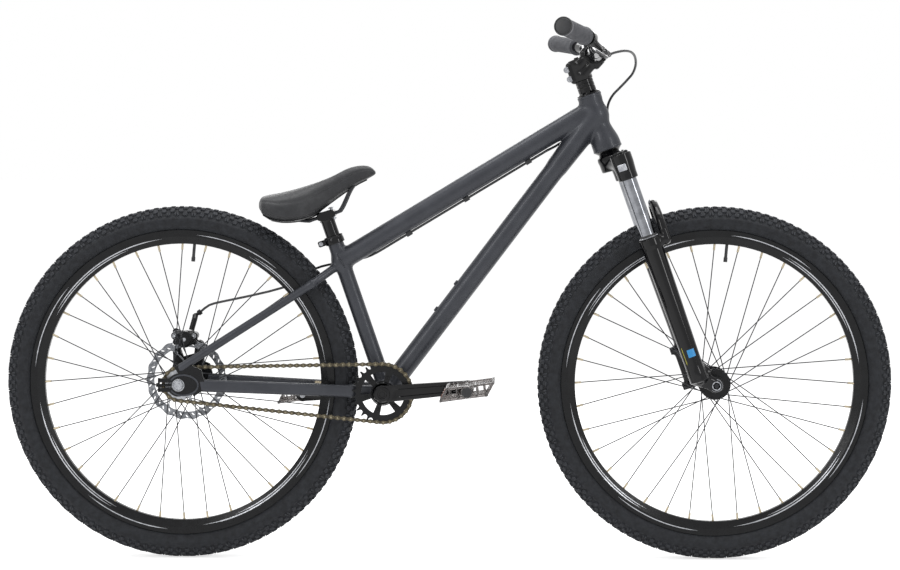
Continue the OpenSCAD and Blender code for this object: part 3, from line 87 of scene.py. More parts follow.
class Graph:
    """A short way to write a node tree."""

    def __init__(self, tree):
        self.tree = tree

    def add(self, kind, **values):
        node = self.tree.nodes.new(kind)
        for key, value in values.items():
            if hasattr(node, key):
                setattr(node, key, value)
            else:
                self.put(node, key.replace("_", " ").title(), value)
        return node

    def put(self, node, socket, value):
        if isinstance(value, bpy.types.NodeSocket):
            self.tree.links.new(value, node.inputs[socket])
        else:
            node.inputs[socket].default_value = value

    def noise(self, where, scale, detail=4.0, rough=0.55):
        n = self.tree.nodes.new("ShaderNodeTexNoise")
        self.put(n, "Vector", where)
        n.inputs["Scale"].default_value = scale
        n.inputs["Detail"].default_value = detail
        n.inputs["Roughness"].default_value = rough
        return n.outputs["Fac"]

    def span(self, value, low, high, to_low=0.0, to_high=1.0):
        n = self.tree.nodes.new("ShaderNodeMapRange")
        n.clamp = True
        for socket, v in (("Value", value), ("From Min", low), ("From Max", high),
                          ("To Min", to_low), ("To Max", to_high)):
            self.put(n, socket, v)
        return n.outputs["Result"]

    def mix(self, factor, a, b):
        n = self.tree.nodes.new("ShaderNodeMix")
        n.data_type = "RGBA"
        self.put(n, 0, factor)
        self.put(n, 6, a if isinstance(a, bpy.types.NodeSocket) else (*a, 1))
        self.put(n, 7, b if isinstance(b, bpy.types.NodeSocket) else (*b, 1))
        return n.outputs[2]

    def math(self, kind, a, b=0.0):
        n = self.tree.nodes.new("ShaderNodeMath")
        n.operation = kind
        self.put(n, 0, a)
        self.put(n, 1, b)
        return n.outputs[0]


def material(name, dark, light, rough=(0.3, 0.4), metal=0.0, scale=45.0, bump=0.1, grain=900.0,
             coat=0.0, sheen=0.0, specular=0.5, edge=None, stretch=(1, 1, 1), glass=0.0,
             extra=None, round_edge=0.0, streak=0.0):
    """A surface whose colour, gloss and relief all vary over it."""
    made = bpy.data.materials.new(name)
    made["slot"] = name
    made.use_nodes = True
    g = Graph(made.node_tree)
    made.node_tree.nodes.clear()
    out = g.add("ShaderNodeOutputMaterial")
    shader = g.add("ShaderNodeBsdfPrincipled")
    g.put(out, "Surface", shader.outputs["BSDF"])
    where = g.add("ShaderNodeTexCoord").outputs["Object"]
    if stretch != (1, 1, 1):
        mapped = g.add("ShaderNodeMapping")
        g.put(mapped, "Vector", where)
        mapped.inputs["Scale"].default_value = stretch
        where = mapped.outputs["Vector"]
    cloud = g.noise(where, scale, 5.0, 0.6)
    colour = g.mix(g.span(cloud, 0.35, 0.65), linear(dark), linear(light))
    # Sharp edges take the edge colour: worn bare steel on the chain plates, and a painted highlight on the tyre knobs.
    if edge:
        pointy = g.add("ShaderNodeNewGeometry").outputs["Pointiness"]
        wear_and_painted_highlight = g.math("MULTIPLY", g.span(pointy, 0.52, 0.60), g.span(g.noise(where, scale * 7), 0.42, 0.62))
        colour = g.mix(wear_and_painted_highlight, colour, linear(edge))
    if extra:
        colour = extra(g, where, colour)
    g.put(shader, "Base Color", colour)
    fine = g.noise(where, grain, 3.0, 0.6)
    uneven = g.noise(where, scale * 2.7, 4.0, 0.6)
    g.put(shader, "Roughness", g.span(uneven, 0.3, 0.7, rough[0], rough[1]))
    shader.inputs["Metallic"].default_value = metal
    shader.inputs["Specular IOR Level"].default_value = specular
    shader.inputs["Coat Weight"].default_value = coat
    shader.inputs["Coat Roughness"].default_value = 0.06
    shader.inputs["Sheen Weight"].default_value = sheen
    shader.inputs["Sheen Roughness"].default_value = 0.5
    shader.inputs["Transmission Weight"].default_value = glass
    relief = g.add("ShaderNodeBump")
    relief.inputs["Strength"].default_value = bump
    relief.inputs["Distance"].default_value = 0.0006
    g.put(relief, "Height", fine)
    if round_edge:
        bevel = g.add("ShaderNodeBevel")
        bevel.samples = 4
        bevel.inputs["Radius"].default_value = round_edge * MM
        g.put(relief, "Normal", bevel.outputs["Normal"])
    g.put(shader, "Normal", relief.outputs["Normal"])
    return made


def radius_about(g, where, x, z):
    """Distance from an axle, in metres, at each point."""
    parts = g.add("ShaderNodeSeparateXYZ")
    g.put(parts, "Vector", where)
    dx = g.math("SUBTRACT", parts.outputs["X"], x)
    dz = g.math("SUBTRACT", parts.outputs["Z"], z)
    return g.math("SQRT", g.math("ADD", g.math("MULTIPLY", dx, dx), g.math("MULTIPLY", dz, dz)))


def nipples(x):
    def paint(g, where, colour):
        r = radius_about(g, where, x, 0.343)
        return g.mix(g.span(r, 0.2575, 0.2585), colour, linear("#b7ab92"))
    return paint


MAT = {
    "frame_paint": material("frame_paint", "#32343a", "#3a3c42", (0.36, 0.46), 0.25, 30, 0.03, 1400,
                            coat=0.1, specular=0.35),
    "black_alloy": material("black_alloy", "#0c0c0e", "#131416", (0.22, 0.34), 0.0, 60, 0.06, 1100,
                            specular=0.22, round_edge=0.7),
    "gloss_black": material("gloss_black", "#060608", "#0b0b0e", (0.08, 0.16), 0.0, 40, 0.015, 900,
                            coat=0.25, specular=0.15, round_edge=0.9),
    "lever_black": material("lever_black", "#0b0b0d", "#151618", (0.18, 0.3), 0.3, 70, 0.06, 1000,
                            coat=0.25, round_edge=0.5),
    "steel": material("steel", "#8f9196", "#b4b6ba", (0.22, 0.36), 0.95, 120, 0.06, 1500,
                      round_edge=0.3),
    "chrome_tube": material("chrome_tube", "#6f7175", "#8b8d92", (0.08, 0.15), 1.0, 60, 0.02, 1200),
    "chain_steel": material("chain_steel", "#2a2620", "#575041", (0.26, 0.42), 0.85, 150, 0.15, 1300,
                            edge="#8a826c"),
    "black_steel": material("black_steel", "#1b1c1f", "#292a2e", (0.3, 0.42), 0.5, 160, 0.08, 1500),
    # The tyre's lighter edge colour is a painted highlight along the knob edges.
    "tyre_rubber": material("tyre_rubber", "#1a1b1e", "#282a2e", (0.55, 0.75), 0.0, 80, 0.35, 1300,
                            specular=0.25, edge="#46484d"),
    "grip_rubber": material("grip_rubber", "#4a4b4f", "#5a5b60", (0.6, 0.75), 0.0, 90, 0.3, 1500,
                            sheen=0.15, specular=0.35),
    "seal_rubber": material("seal_rubber", "#141416", "#1e1e21", (0.5, 0.65), 0.0, 120, 0.2, 1400),
    "saddle_skin": material("saddle_skin", "#1c1d20", "#26272a", (0.44, 0.58), 0.0, 70, 0.35, 1000,
                            sheen=0.12, specular=0.4),
    "saddle_shell": material("saddle_shell", "#121214", "#1b1b1e", (0.42, 0.55), 0.0, 80, 0.2, 1200),
    "black_plastic": material("black_plastic", "#141517", "#202124", (0.38, 0.52), 0.0, 90, 0.2, 1200,
                              round_edge=0.4),
    "pedal_plastic": material("pedal_plastic", "#7b7674", "#8f8987", (0.16, 0.3), 0.0, 60, 0.08, 900,
                              coat=0.4, glass=0.75, round_edge=0.5),
    "housing": material("housing", "#1a1b1d", "#27282b", (0.3, 0.4), 0.0, 120, 0.06, 1600, coat=0.2),
}
spoke_paint = {
    1: material("spoke_front", "#202124", "#2c2d31", (0.26, 0.38), 0.6, 160, 0.05, 1500, extra=nipples(0.517)),
    -1: material("spoke_rear", "#202124", "#2c2d31", (0.26, 0.38), 0.6, 160, 0.05, 1500, extra=nipples(-0.517)),
}


def paint(node, made):
    data = nodes[node].data
    data.materials.clear()
    data.materials.append(made)


slot_of = {}
for part in frame["record"]["subparts"]:
    slot_of[part["node"]] = part["material_slot"]
for name, thing in nodes.items():
    paint(name, MAT.get(slot_of.get(name), MAT["black_alloy"]))
paint("front_spokes", spoke_paint[1])
paint("rear_spokes", spoke_paint[-1])

# studio
world = bpy.data.worlds.new("studio")
bpy.context.scene.world = world
world.use_nodes = True
wg = Graph(world.node_tree)
world.node_tree.nodes.clear()
world_out = wg.add("ShaderNodeOutputWorld")
rays = wg.add("ShaderNodeLightPath")
seen = wg.math("MAXIMUM", rays.outputs["Is Camera Ray"],
               wg.math("MAXIMUM", rays.outputs["Is Glossy Ray"], rays.outputs["Is Transmission Ray"]))
plain = wg.add("ShaderNodeBackground")
plain.inputs["Color"].default_value = (1, 1, 1, 1)
plain.inputs["Strength"].default_value = 1.0
soft = wg.add("ShaderNodeBackground")
soft.inputs["Color"].default_value = (1, 1, 1, 1)
soft.inputs["Strength"].default_value = 0.5
either = wg.add("ShaderNodeMixShader")
wg.put(either, "Fac", seen)
wg.put(either, 1, soft.outputs[0])
wg.put(either, 2, plain.outputs[0])
wg.put(world_out, "Surface", either.outputs[0])


def lamp(name, place, aim, size, power):
    data = bpy.data.lights.new(name, "AREA")
    data.shape = "RECTANGLE"
    data.size, data.size_y = size
    data.energy = power
    thing = bpy.data.objects.new(name, data)
    thing.location = place
    thing.rotation_euler = (Vector(place) - Vector(aim)).to_track_quat("Z", "Y").to_euler()
    bpy.context.scene.collection.objects.link(thing)
    return thing


lamp("top_box", (0, 0, 3.2), (0, 0, 0.4), (3.0, 1.2), 58)
lamp("left_box", (-2.6, -2.8, 2.2), (0, 0, 0.5), (0.7, 2.2), 32)
lamp("right_box", (2.8, -2.6, 1.9), (0, 0, 0.5), (0.5, 2.0), 28)
lamp("back_box", (0, 3.2, 2.0), (0, 0, 0.5), (2.6, 1.4), 30)


def floor():
    made = bpy.data.materials.new("floor")
    made.use_nodes = True
    g = Graph(made.node_tree)
    made.node_tree.nodes.clear()
    out = g.add("ShaderNodeOutputMaterial")
    path = g.add("ShaderNodeLightPath")
    looked = g.math("MAXIMUM", path.outputs["Is Camera Ray"],
                    g.math("MAXIMUM", path.outputs["Is Glossy Ray"], path.outputs["Is Transmission Ray"]))
    matte = g.add("ShaderNodeBsdfDiffuse")
    matte.inputs["Color"].default_value = (0.85, 0.85, 0.85, 1)
    glow = g.add("ShaderNodeEmission")
    glow.inputs["Color"].default_value = (1, 1, 1, 1)
    g.put(glow, "Strength", g.math("MULTIPLY", looked, 0.6))
    both = g.add("ShaderNodeAddShader")
    g.put(both, 0, matte.outputs[0])
    g.put(both, 1, glow.outputs[0])
    g.put(out, "Surface", both.outputs[0])
    data = bpy.data.meshes.new("floor")
    data.from_pydata([(-60, -60, 0), (60, -60, 0), (60, 60, 0), (-60, 60, 0)], [], [(0, 1, 2, 3)])
    data.materials.append(made)
    thing = bpy.data.objects.new("floor", data)
    bpy.context.scene.collection.objects.link(thing)


floor()

# shapes
LEAN = math.radians(19.5)
FOOT = Vector((475.524, 0, 328.3125))
REAR = Vector((-517, 0, 343))
FRONT = Vector((517, 0, 343))
BB = Vector((-124.42, 0, 326.0))
SEAT_FOOT = Vector((-119.42, 0, 326.0))
SEAT_DIR = Vector((-0.325568, 0, 0.945519))
STEER_N = Vector((math.cos(LEAN), 0, math.sin(LEAN)))
STEER_S = Vector((-math.sin(LEAN), 0, math.cos(LEAN)))
SIDE = Vector((0, 1, 0))


def steer(n, y, s):
    return FOOT + n * STEER_N + Vector((0, y, 0)) + s * STEER_S


def on_seat(t, y=0.0, ahead=0.0):
    return SEAT_FOOT + t * SEAT_DIR + Vector((ahead * 0.945519, y, ahead * 0.325568))


def turn(theta):
    return math.cos(theta), math.sin(theta)


def curve_through(points, steps=6):
    """Points on a smooth curve through the given points."""
    pts = [Vector(p) for p in points]
    out = []
    for i in range(len(pts) - 1):
        a, b, c, d = pts[max(i - 1, 0)], pts[i], pts[i + 1], pts[min(i + 2, len(pts) - 1)]
        for k in range(steps):
            t = k / steps
            out.append(0.5 * (2 * b + (c - a) * t + (2 * a - 5 * b + 4 * c - d) * t * t
                              + (3 * b - a - 3 * c + d) * t ** 3))
    return out + [pts[-1]]


def inside(p, path):
    """Whether a point is within a closed path in the plane."""
    hit = False
    for (ax, ay), (bx, by) in zip(path, path[1:] + path[:1]):
        if (ay > p.y) != (by > p.y) and p.x < (bx - ax) * (p.y - ay) / (by - ay) + ax:
            hit = not hit
    return hit


class Shape:
    """Points and faces in millimetres, gathered before one mesh is made of them."""

    def __init__(self):
        self.verts = []
        self.faces = []

    def add(self, verts, faces):
        base = len(self.verts)
        self.verts.extend(verts)
        self.faces.extend(tuple(base + i for i in f) for f in faces)
        return self

    def rings(self, rings, caps=True, loop=False):
        n, m = len(rings[0]), len(rings)
        faces = []
        for i in range(m if loop else m - 1):
            j = (i + 1) % m
            faces += [(i * n + k, i * n + (k + 1) % n, j * n + (k + 1) % n, j * n + k) for k in range(n)]
        if caps and not loop:
            faces.append(tuple(range(n - 1, -1, -1)))
            faces.append(tuple((m - 1) * n + k for k in range(n)))
        return self.add([p for ring in rings for p in ring], faces)

    def tube(self, points, radius, sides=16, caps=True):
        pts = [Vector(p) for p in points]
        last = len(pts) - 1
        tangents = [(pts[min(i + 1, last)] - pts[max(i - 1, 0)]).normalized() for i in range(last + 1)]
        u = tangents[0].orthogonal().normalized()
        rings = []
        for i, (p, t) in enumerate(zip(pts, tangents)):
            if i:
                u = tangents[i - 1].rotation_difference(t) @ u
            v = t.cross(u)
            r = radius(i / last) if callable(radius) else radius
            rings.append([p + r * (math.cos(a) * u + math.sin(a) * v)
                          for a in (2 * math.pi * k / sides for k in range(sides))])
        return self.rings(rings, caps)

    def turned(self, profile, origin, axis, sides=48, loop=False, arc=None):
        """A profile of (radius, height) pairs turned about an axis."""
        axis = Vector(axis).normalized()
        u = axis.orthogonal().normalized()
        v = axis.cross(u)
        origin = Vector(origin)
        rings = [[origin + axis * h + r * (math.cos(a) * u + math.sin(a) * v)
                  for a in (2 * math.pi * k / sides for k in range(sides))] for r, h in profile]
        return self.rings(rings, not loop, loop)

    def block(self, centre, half, axes=((1, 0, 0), (0, 1, 0), (0, 0, 1)), cut=0.0):
        """A box, with its edges cut across when cut is not zero."""
        a, b, c = (Vector(x).normalized() for x in axes)
        hx, hy, hz = half
        levels = ((-hz, cut), (-hz + cut, 0), (hz - cut, 0), (hz, cut)) if cut else ((-hz, 0), (hz, 0))
        rings = []
        for z, inset in levels:
            x, y = hx - inset, hy - inset
            if cut:
                path = [(-x, cut - y), (cut - x, -y), (x - cut, -y), (x, cut - y),
                        (x, y - cut), (x - cut, y), (cut - x, y), (-x, y - cut)]
            else:
                path = [(-x, -y), (x, -y), (x, y), (-x, y)]
            rings.append([Vector(centre) + px * a + py * b + z * c for px, py in path])
        return self.rings(rings)

    def plate(self, outline, holes, low, high, place):
        """A flat plate with holes; place turns (x, y, height) into a point."""
        pts, edges = [], []
        for path in [outline] + list(holes):
            base = len(pts)
            pts += [Vector(p) for p in path]
            edges += [(base + i, base + (i + 1) % len(path)) for i in range(len(path))]
        from mathutils.geometry import delaunay_2d_cdt
        flat, _, tris, _, _, _ = delaunay_2d_cdt(pts, edges, [], 1, 1e-5)
        tris = [f for f in tris if not any(inside(sum((flat[i] for i in f), Vector((0, 0))) / len(f), hole)
                                           for hole in holes)]
        n = len(flat)
        uses = {}
        for f in tris:
            for a, b in zip(f, f[1:] + f[:1]):
                uses[(a, b)] = True
        rim = [(a, b) for a, b in uses if (b, a) not in uses]
        verts = [place(p.x, p.y, low) for p in flat] + [place(p.x, p.y, high) for p in flat]
        faces = [tuple(f[::-1]) for f in tris] + [tuple(i + n for i in f) for f in tris]
        faces += [(a, b, b + n, a + n) for a, b in rim]
        return self.add(verts, faces)

    def make(self, name, made, body, slot=None, sharp=38, bevel=0.0, segments=2, subsurf=0, replaces=(),
             weld=0.0):
        data = bpy.data.meshes.new(name)
        data.from_pydata([tuple(c * MM for c in v) for v in self.verts], [], self.faces)
        tool = bmesh.new()
        tool.from_mesh(data)
        if weld:
            bmesh.ops.remove_doubles(tool, verts=tool.verts, dist=weld * MM)
        bmesh.ops.recalc_face_normals(tool, faces=tool.faces)
        tool.to_mesh(data)
        tool.free()
        data.shade_smooth()
        if not bevel:
            data.set_sharp_from_angle(angle=math.radians(sharp))
        data.materials.append(made)
        thing = bpy.data.objects.new(name, data)
        bpy.context.scene.collection.objects.link(thing)
        if bevel:
            mod = thing.modifiers.new("bevel", "BEVEL")
            mod.width = bevel * MM
            mod.segments = segments
            mod.limit_method = "ANGLE"
            mod.angle_limit = math.radians(sharp)
            mod.harden_normals = True
        if subsurf:
            mod = thing.modifiers.new("subsurf", "SUBSURF")
            mod.levels = subsurf
            mod.render_levels = subsurf
        if body:
            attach(thing, body)
        if replaces:
            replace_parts(thing, *replaces)
        return thing


# Solids of one smooth skin: distance fields that are blended, then a mesh drawn onto them
def bar_field(p, a, b, ra, rb=None):
    a, b = np.array(a, float), np.array(b, float)
    d = b - a
    t = np.clip((p - a) @ d / (d @ d), 0, 1)
    r = ra if rb is None else ra + (rb - ra) * t
    return np.linalg.norm(p - a - t[:, None] * d, axis=1) - r


def flat_bar_field(p, a, b, half_h, r):
    """A bar whose section is tall: round at its top and bottom."""
    a, b = np.array(a, float), np.array(b, float)
    d = b - a
    t = np.clip((p - a) @ d / (d @ d), 0, 1)
    rest = p - a - t[:, None] * d
    side = np.cross(d / np.linalg.norm(d), [0, 0, 1.0])
    side /= np.linalg.norm(side)
    up = np.cross(side, d / np.linalg.norm(d))
    h = rest @ up
    rest = rest - np.clip(h, -half_h, half_h)[:, None] * up
    return np.linalg.norm(rest, axis=1) - r


def drum_field(p, a, b, r, soften=1.5):
    """A cylinder with flat ends and slightly rounded rims; r may be a function of the height."""
    a, b = np.array(a, float), np.array(b, float)
    d = b - a
    length = np.linalg.norm(d)
    d = d / length
    h = (p - a) @ d
    rho = np.linalg.norm(p - a - h[:, None] * d, axis=1)
    radial = rho - (r(h) if callable(r) else r) + soften
    axial = np.abs(h - length / 2) - length / 2 + soften
    outside = np.sqrt(np.maximum(radial, 0) ** 2 + np.maximum(axial, 0) ** 2)
    return outside + np.minimum(np.maximum(radial, axial), 0) - soften


def melted(fields, k):
    d = np.stack(fields)
    low = d.min(axis=0)
    return low - k * np.log(np.exp(-(d - low) / k).sum(axis=0))


def skin_over(name, field, start, voxel, made, body, slot=None, replaces=(), cuts=(), rounds=5):
    """Remeshes a rough Shape, draws it onto the field, cuts the bores and makes the piece."""
    rough = start.make(name, made, None, slot)
    mod = rough.modifiers.new("remesh", "REMESH")
    mod.mode = "VOXEL"
    mod.voxel_size = voxel * MM
    bpy.context.view_layer.update()
    data = bpy.data.meshes.new_from_object(rough.evaluated_get(bpy.context.evaluated_depsgraph_get()))
    rough.modifiers.clear()
    rough.data = data
    p = np.zeros(len(data.vertices) * 3)
    data.vertices.foreach_get("co", p)
    p = p.reshape(-1, 3) / MM
    ends = np.zeros(len(data.edges) * 2, np.int64)
    data.edges.foreach_get("vertices", ends)
    ends = ends.reshape(-1, 2)
    count = np.bincount(ends.ravel(), minlength=len(p))[:, None]
    step = 0.4

    def settle(p, times):
        for _ in range(times):
            f = field(p)
            grad = np.stack([(field(p + step * e) - field(p - step * e)) / (2 * step) for e in np.eye(3)], 1)
            size = np.maximum((grad ** 2).sum(1), 0.2)
            move = -(f / size)[:, None] * grad
            far = np.linalg.norm(move, axis=1, keepdims=True)
            p = p + move * np.minimum(1, 4 / np.maximum(far, 1e-9))
        return p

    p = settle(p, 3)
    for _ in range(rounds):
        mean = np.zeros_like(p)
        for axis in range(3):
            mean[:, axis] = (np.bincount(ends[:, 0], p[ends[:, 1], axis], len(p))
                             + np.bincount(ends[:, 1], p[ends[:, 0], axis], len(p)))
        p = settle(p + 0.5 * (mean / count - p), 1)
    p = settle(p, 2)
    data.vertices.foreach_set("co", (p * MM).ravel())
    data.update()
    data.shade_smooth()
    data.materials.clear()
    data.materials.append(made)
    for cutter_shape in cuts:
        cutter = cutter_shape.make(name + "_cut", made, None)
        mod = rough.modifiers.new("cut", "BOOLEAN")
        mod.operation = "DIFFERENCE"
        mod.solver = "EXACT"
        mod.object = cutter
        bpy.context.view_layer.update()
        done = bpy.data.meshes.new_from_object(rough.evaluated_get(bpy.context.evaluated_depsgraph_get()))
        rough.modifiers.clear()
        rough.data = done
        bpy.data.objects.remove(cutter)
    data = rough.data
    p = np.zeros(len(data.vertices) * 3)
    data.vertices.foreach_get("co", p)
    p = p.reshape(-1, 3) / MM
    grad = np.stack([(field(p + step * e) - field(p - step * e)) / (2 * step) for e in np.eye(3)], 1)
    grad /= np.maximum(np.linalg.norm(grad, axis=1, keepdims=True), 1e-6)
    plain = np.zeros(len(data.vertices) * 3)
    data.vertices.foreach_get("normal", plain)
    plain = plain.reshape(-1, 3)
    own = (np.abs(field(p)) > 0.25) | ((grad * plain).sum(1) < 0.5)
    grad[own] = plain[own]
    if cuts:
        data.set_sharp_from_angle(angle=math.radians(50))
    data.normals_split_custom_set_from_vertices(grad.tolist())
    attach(rough, body)
    if replaces:
        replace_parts(rough, *replaces)
    return rough

# wheels
KNOB_ROWS = [(-78, 0.5, 4.2, 1.0), (-62, 0.0, 6.6, 2.4), (-43, 0.5, 7.2, 2.9), (-24, 0.0, 7.4, 3.0),
             (-2.5, 0.5, 7.2, 3.0), (24, 0.0, 7.4, 3.0), (43, 0.5, 7.2, 2.9), (62, 0.0, 6.6, 2.4),
             (78, 0.5, 4.2, 1.0)]
KNOBS_AROUND = 126


def tyre_point(centre, cross, around, r):
    reach = 317 + r * math.cos(cross)
    c, s = turn(around)
    return Vector((centre.x + reach * c, r * math.sin(cross), centre.z + reach * s))


def tyre(name, centre, body, node):
    shape = Shape()
    section = []
    for k in range(61):
        a = math.radians(134 - 268 * k / 60)
        deg = abs(math.degrees(a))
        r = 23.2 if deg < 74 else 23.2 + min(1, (deg - 74) / 10) * 2.3
        for line, tall in ((92, 0.35), (99, 0.3), (121, 0.45), (127, 0.45)):
            r += tall * math.exp(-((deg - line) / 1.3) ** 2)
        section.append((317 + r * math.cos(a), r * math.sin(a)))
    section += [(297.5, -12.9), (292.4, -12.9), (292.4, -9.2)]
    for k in range(21):
        a = math.radians(-126 + 252 * k / 20)
        section.append((317 + 21.5 * math.cos(a), 21.5 * math.sin(a)))
    section += [(292.4, 9.2), (292.4, 12.9), (297.5, 12.9)]
    shape.turned(section, centre, SIDE, 180, loop=True)
    pitch = 2 * math.pi / KNOBS_AROUND
    for row, (cross_deg, shift, wide, tall) in enumerate(KNOB_ROWS):
        for i in range(KNOBS_AROUND):
            around = (i + shift) * pitch
            cross = math.radians(cross_deg)
            if row == 4:
                cross = math.radians(-8 if i % 2 else 8)
            lean = 0.16 if (i + row) % 2 else -0.16
            length = 9.6 if row in (0, 8) else 8.8
            split = row in (1, 3, 5, 7) and i % 2 == 0
            for part in ((-1, 1) if split else (0,)):
                rings = []
                for r, grow in ((22.4, 0.5), (23.2 + tall * 0.8, 0.0), (23.2 + tall, -0.55)):
                    hl = (length / 2 if not part else length / 4 - 0.45) + grow
                    hw = wide / 2 + grow
                    off = part * (length / 4 + 0.25)
                    cut = 1.2
                    ring = []
                    for u, v in ((-hl, -hw + cut), (-hl + cut, -hw), (hl - cut, -hw), (hl, -hw + cut),
                                 (hl, hw - cut), (hl - cut, hw), (-hl + cut, hw), (-hl, hw - cut)):
                        u += off + lean * v
                        ring.append(tyre_point(centre, cross + v / 25, around + u / 340, r))
                    rings.append(ring)
                shape.rings(rings)
    return shape.make(name, MAT["tyre_rubber"], body, replaces=(node,), sharp=30)


tyre("front_tyre_tread", FRONT, "front_wheel", "front_tyre")
tyre("rear_tyre_tread", REAR, "rear_wheel", "rear_tyre")

MAT["pinstripe"] = material("pinstripe", "#9fa1a6", "#c3c5c9", (0.28, 0.4), 0.6, 120, 0.04, 1500)


def rim_trim(name, centre, body):
    """Thin plain stripes along the walls of a rim."""
    shape = Shape()
    for side in (-1, 1):
        for r, width, starts, span in ((281.5, 0.9, (8, 98, 188, 278), 52), (277.6, 0.7, (22, 112, 202, 292), 40),
                                       (288.5, 0.8, (50, 140, 230, 320), 34)):
            for start in starts:
                rings = []
                for k in range(25):
                    c, s = turn(math.radians(start + span * k / 24))
                    taper = min(1, k / 4, (24 - k) / 4) + 0.05
                    ring = []
                    for dr, lift in ((-width * taper, -0.3), (width * taper, -0.3),
                                     (width * taper, 0.12), (-width * taper, 0.12)):
                        rr = r + dr
                        wall = 6 + (rr - 270) * 8 / 14 if rr < 284 else 14 + (rr - 284) / 13
                        ring.append(Vector((centre.x + rr * c, side * (wall + lift), centre.z + rr * s)))
                    rings.append(ring)
                shape.rings(rings)
    shape.make(name, MAT["pinstripe"], body, slot="steel")


rim_trim("front_rim_stripes", FRONT, "front_wheel")
rim_trim("rear_rim_stripes", REAR, "rear_wheel")


def rotor():
    """Wavy slotted disc on six arms, with its six bolts."""
    shape = Shape()

    def place(x, z, y):
        return Vector((REAR.x + x, y, REAR.z + z))

    def arc(r, a, b, count):
        return [(r * math.cos(t), r * math.sin(t)) for t in np.linspace(a, b, count)]

    outer = []
    for k in range(240):
        t = 2 * math.pi * k / 240
        r = 78.7 + 1.2 * math.cos(18 * t)
        outer.append((r * math.cos(t), r * math.sin(t)))
    holes = []
    for k in range(36):
        t = 2 * math.pi * k / 36
        mid = 71.5 + (1.6 if k % 2 else -1.6)
        ux, uz = math.cos(t), math.sin(t)
        dx, dz = math.cos(t + 0.75), math.sin(t + 0.75)
        hole = []
        for q in range(12):
            w = 2 * math.pi * q / 12
            along, across = 3.6 * math.cos(w), 1.25 * math.sin(w)
            hole.append((mid * ux + along * dx - across * dz, mid * uz + along * dz + across * dx))
        holes.append(hole)
    for k in range(6):
        a0 = math.radians(60 * k)
        window = arc(64.2, a0 - 0.02, a0 + 0.9, 12)
        window += [(r * math.cos(a), r * math.sin(a)) for r, a in
                   ((60, a0 + 0.93), (50, a0 + 0.80), (40, a0 + 0.66), (31.5, a0 + 0.52))]
        window += arc(29.2, a0 + 0.42, a0 - 0.34, 8)
        window += [(r * math.cos(a), r * math.sin(a)) for r, a in
                   ((31.5, a0 - 0.40), (40, a0 - 0.30), (50, a0 - 0.19), (60, a0 - 0.09))]
        holes.append(window)
        holes.append([(22 * math.cos(a0 + 0.6) + 2.6 * math.cos(w), 22 * math.sin(a0 + 0.6) + 2.6 * math.sin(w))
                      for w in np.linspace(0, 2 * math.pi, 12, endpoint=False)])
    holes.append(arc(17.2, 0, 2 * math.pi * 47 / 48, 48))
    shape.plate(outer, holes, 51.3, 53.1, place)
    disc = shape.make("brake_disc", MAT["rotor_steel"], "rear_wheel", slot="steel", sharp=30,
                      replaces=("brake_rotor",))
    bolts = Shape()
    for k in range(6):
        a0 = math.radians(60 * k) + 0.6
        c, s = turn(a0)
        at = Vector((REAR.x + 22 * c, 0, REAR.z + 22 * s))
        bolts.turned([(2.2, 43), (2.2, 53.1), (4.0, 53.1), (4.0, 54.6), (3.4, 55.5), (1.7, 55.6), (1.6, 54.4),
                      (0.05, 54.3)], at, SIDE, 20)
    bolts.make("disc_bolts", MAT["black_steel"], "rear_wheel", sharp=30)
    return disc


MAT["rotor_steel"] = material("rotor_steel", "#5f6165", "#8c8e92", (0.2, 0.34), 0.95, 200, 0.12, 700,
                              stretch=(1, 8, 1))
rotor()


def hub_caps(name, centre, body, span):
    """Turned dust caps and lock rings at both ends of a hub."""
    shape = Shape()
    for side, reach in span:
        shape.turned([(9.4, 0), (13.6, 0.2), (14.6, 1.2), (14.6, 3.4), (13.2, 4.4), (11.6, 4.5), (11.0, 3.6),
                      (9.4, 3.5)], centre + Vector((0, side * reach, 0)), SIDE * side, 40, loop=True)
    shape.make(name, MAT["gloss_black"], body, sharp=25)


hub_caps("front_hub_caps", FRONT, "front_wheel", ((-1, 40.2), (1, 38.6)))

# frame
TOP_AT = on_seat(269)
TOP_HEAD = steer(0, 0, 580)
DOWN_HEAD = steer(0, 0, 566)
DOWN_DIR = (DOWN_HEAD - SEAT_FOOT).normalized()
DOWN_UP = Vector((-DOWN_DIR.z, 0, DOWN_DIR.x))
SEAT_TOP = on_seat(318)
SEATSTAY = [on_seat(261, 9, -14), Vector((-262, 40, 536)), Vector((-513, 70.5, 376))]
CHAINSTAY = [Vector((-140, 27, 328)), Vector((-185, 38, 329)), Vector((-473, 69, 342))]


def head_radius(h):
    """The hourglass of the head tube, from its lower rim."""
    h = np.asarray(h, float)
    low = 28 - 8 * (1 - np.cos(math.pi * np.clip((h - 10) / 46, 0, 1))) / 2
    top = 3 * (1 - np.cos(math.pi * np.clip((h - 84) / 20, 0, 1))) / 2
    return low + top


def frame_field(p):
    mirror = p * np.array([1, -1, 1])
    parts = [
        drum_field(p, steer(0, 0, 496), steer(0, 0, 608), head_radius, 1.2),
        bar_field(p, TOP_AT, TOP_HEAD, 19.6),
        bar_field(p, SEAT_FOOT, DOWN_HEAD, 19.6),
        bar_field(p, DOWN_HEAD - 120 * DOWN_DIR, DOWN_HEAD, 19.4, 24.6),
        drum_field(p, on_seat(-6), SEAT_TOP, 15.4, 1.0),
        drum_field(p, (BB.x, -36.5, BB.z), (BB.x, 36.5, BB.z), 20.8, 1.0),
    ]
    for q in (p, mirror):
        parts += [bar_field(q, SEATSTAY[0], SEATSTAY[1], 8), bar_field(q, SEATSTAY[1], SEATSTAY[2], 8),
                  flat_bar_field(q, CHAINSTAY[0], CHAINSTAY[1], 5.5, 6.4),
                  flat_bar_field(q, CHAINSTAY[1], CHAINSTAY[2], 5.5, 6.4)]
    return melted(parts, 2.6)


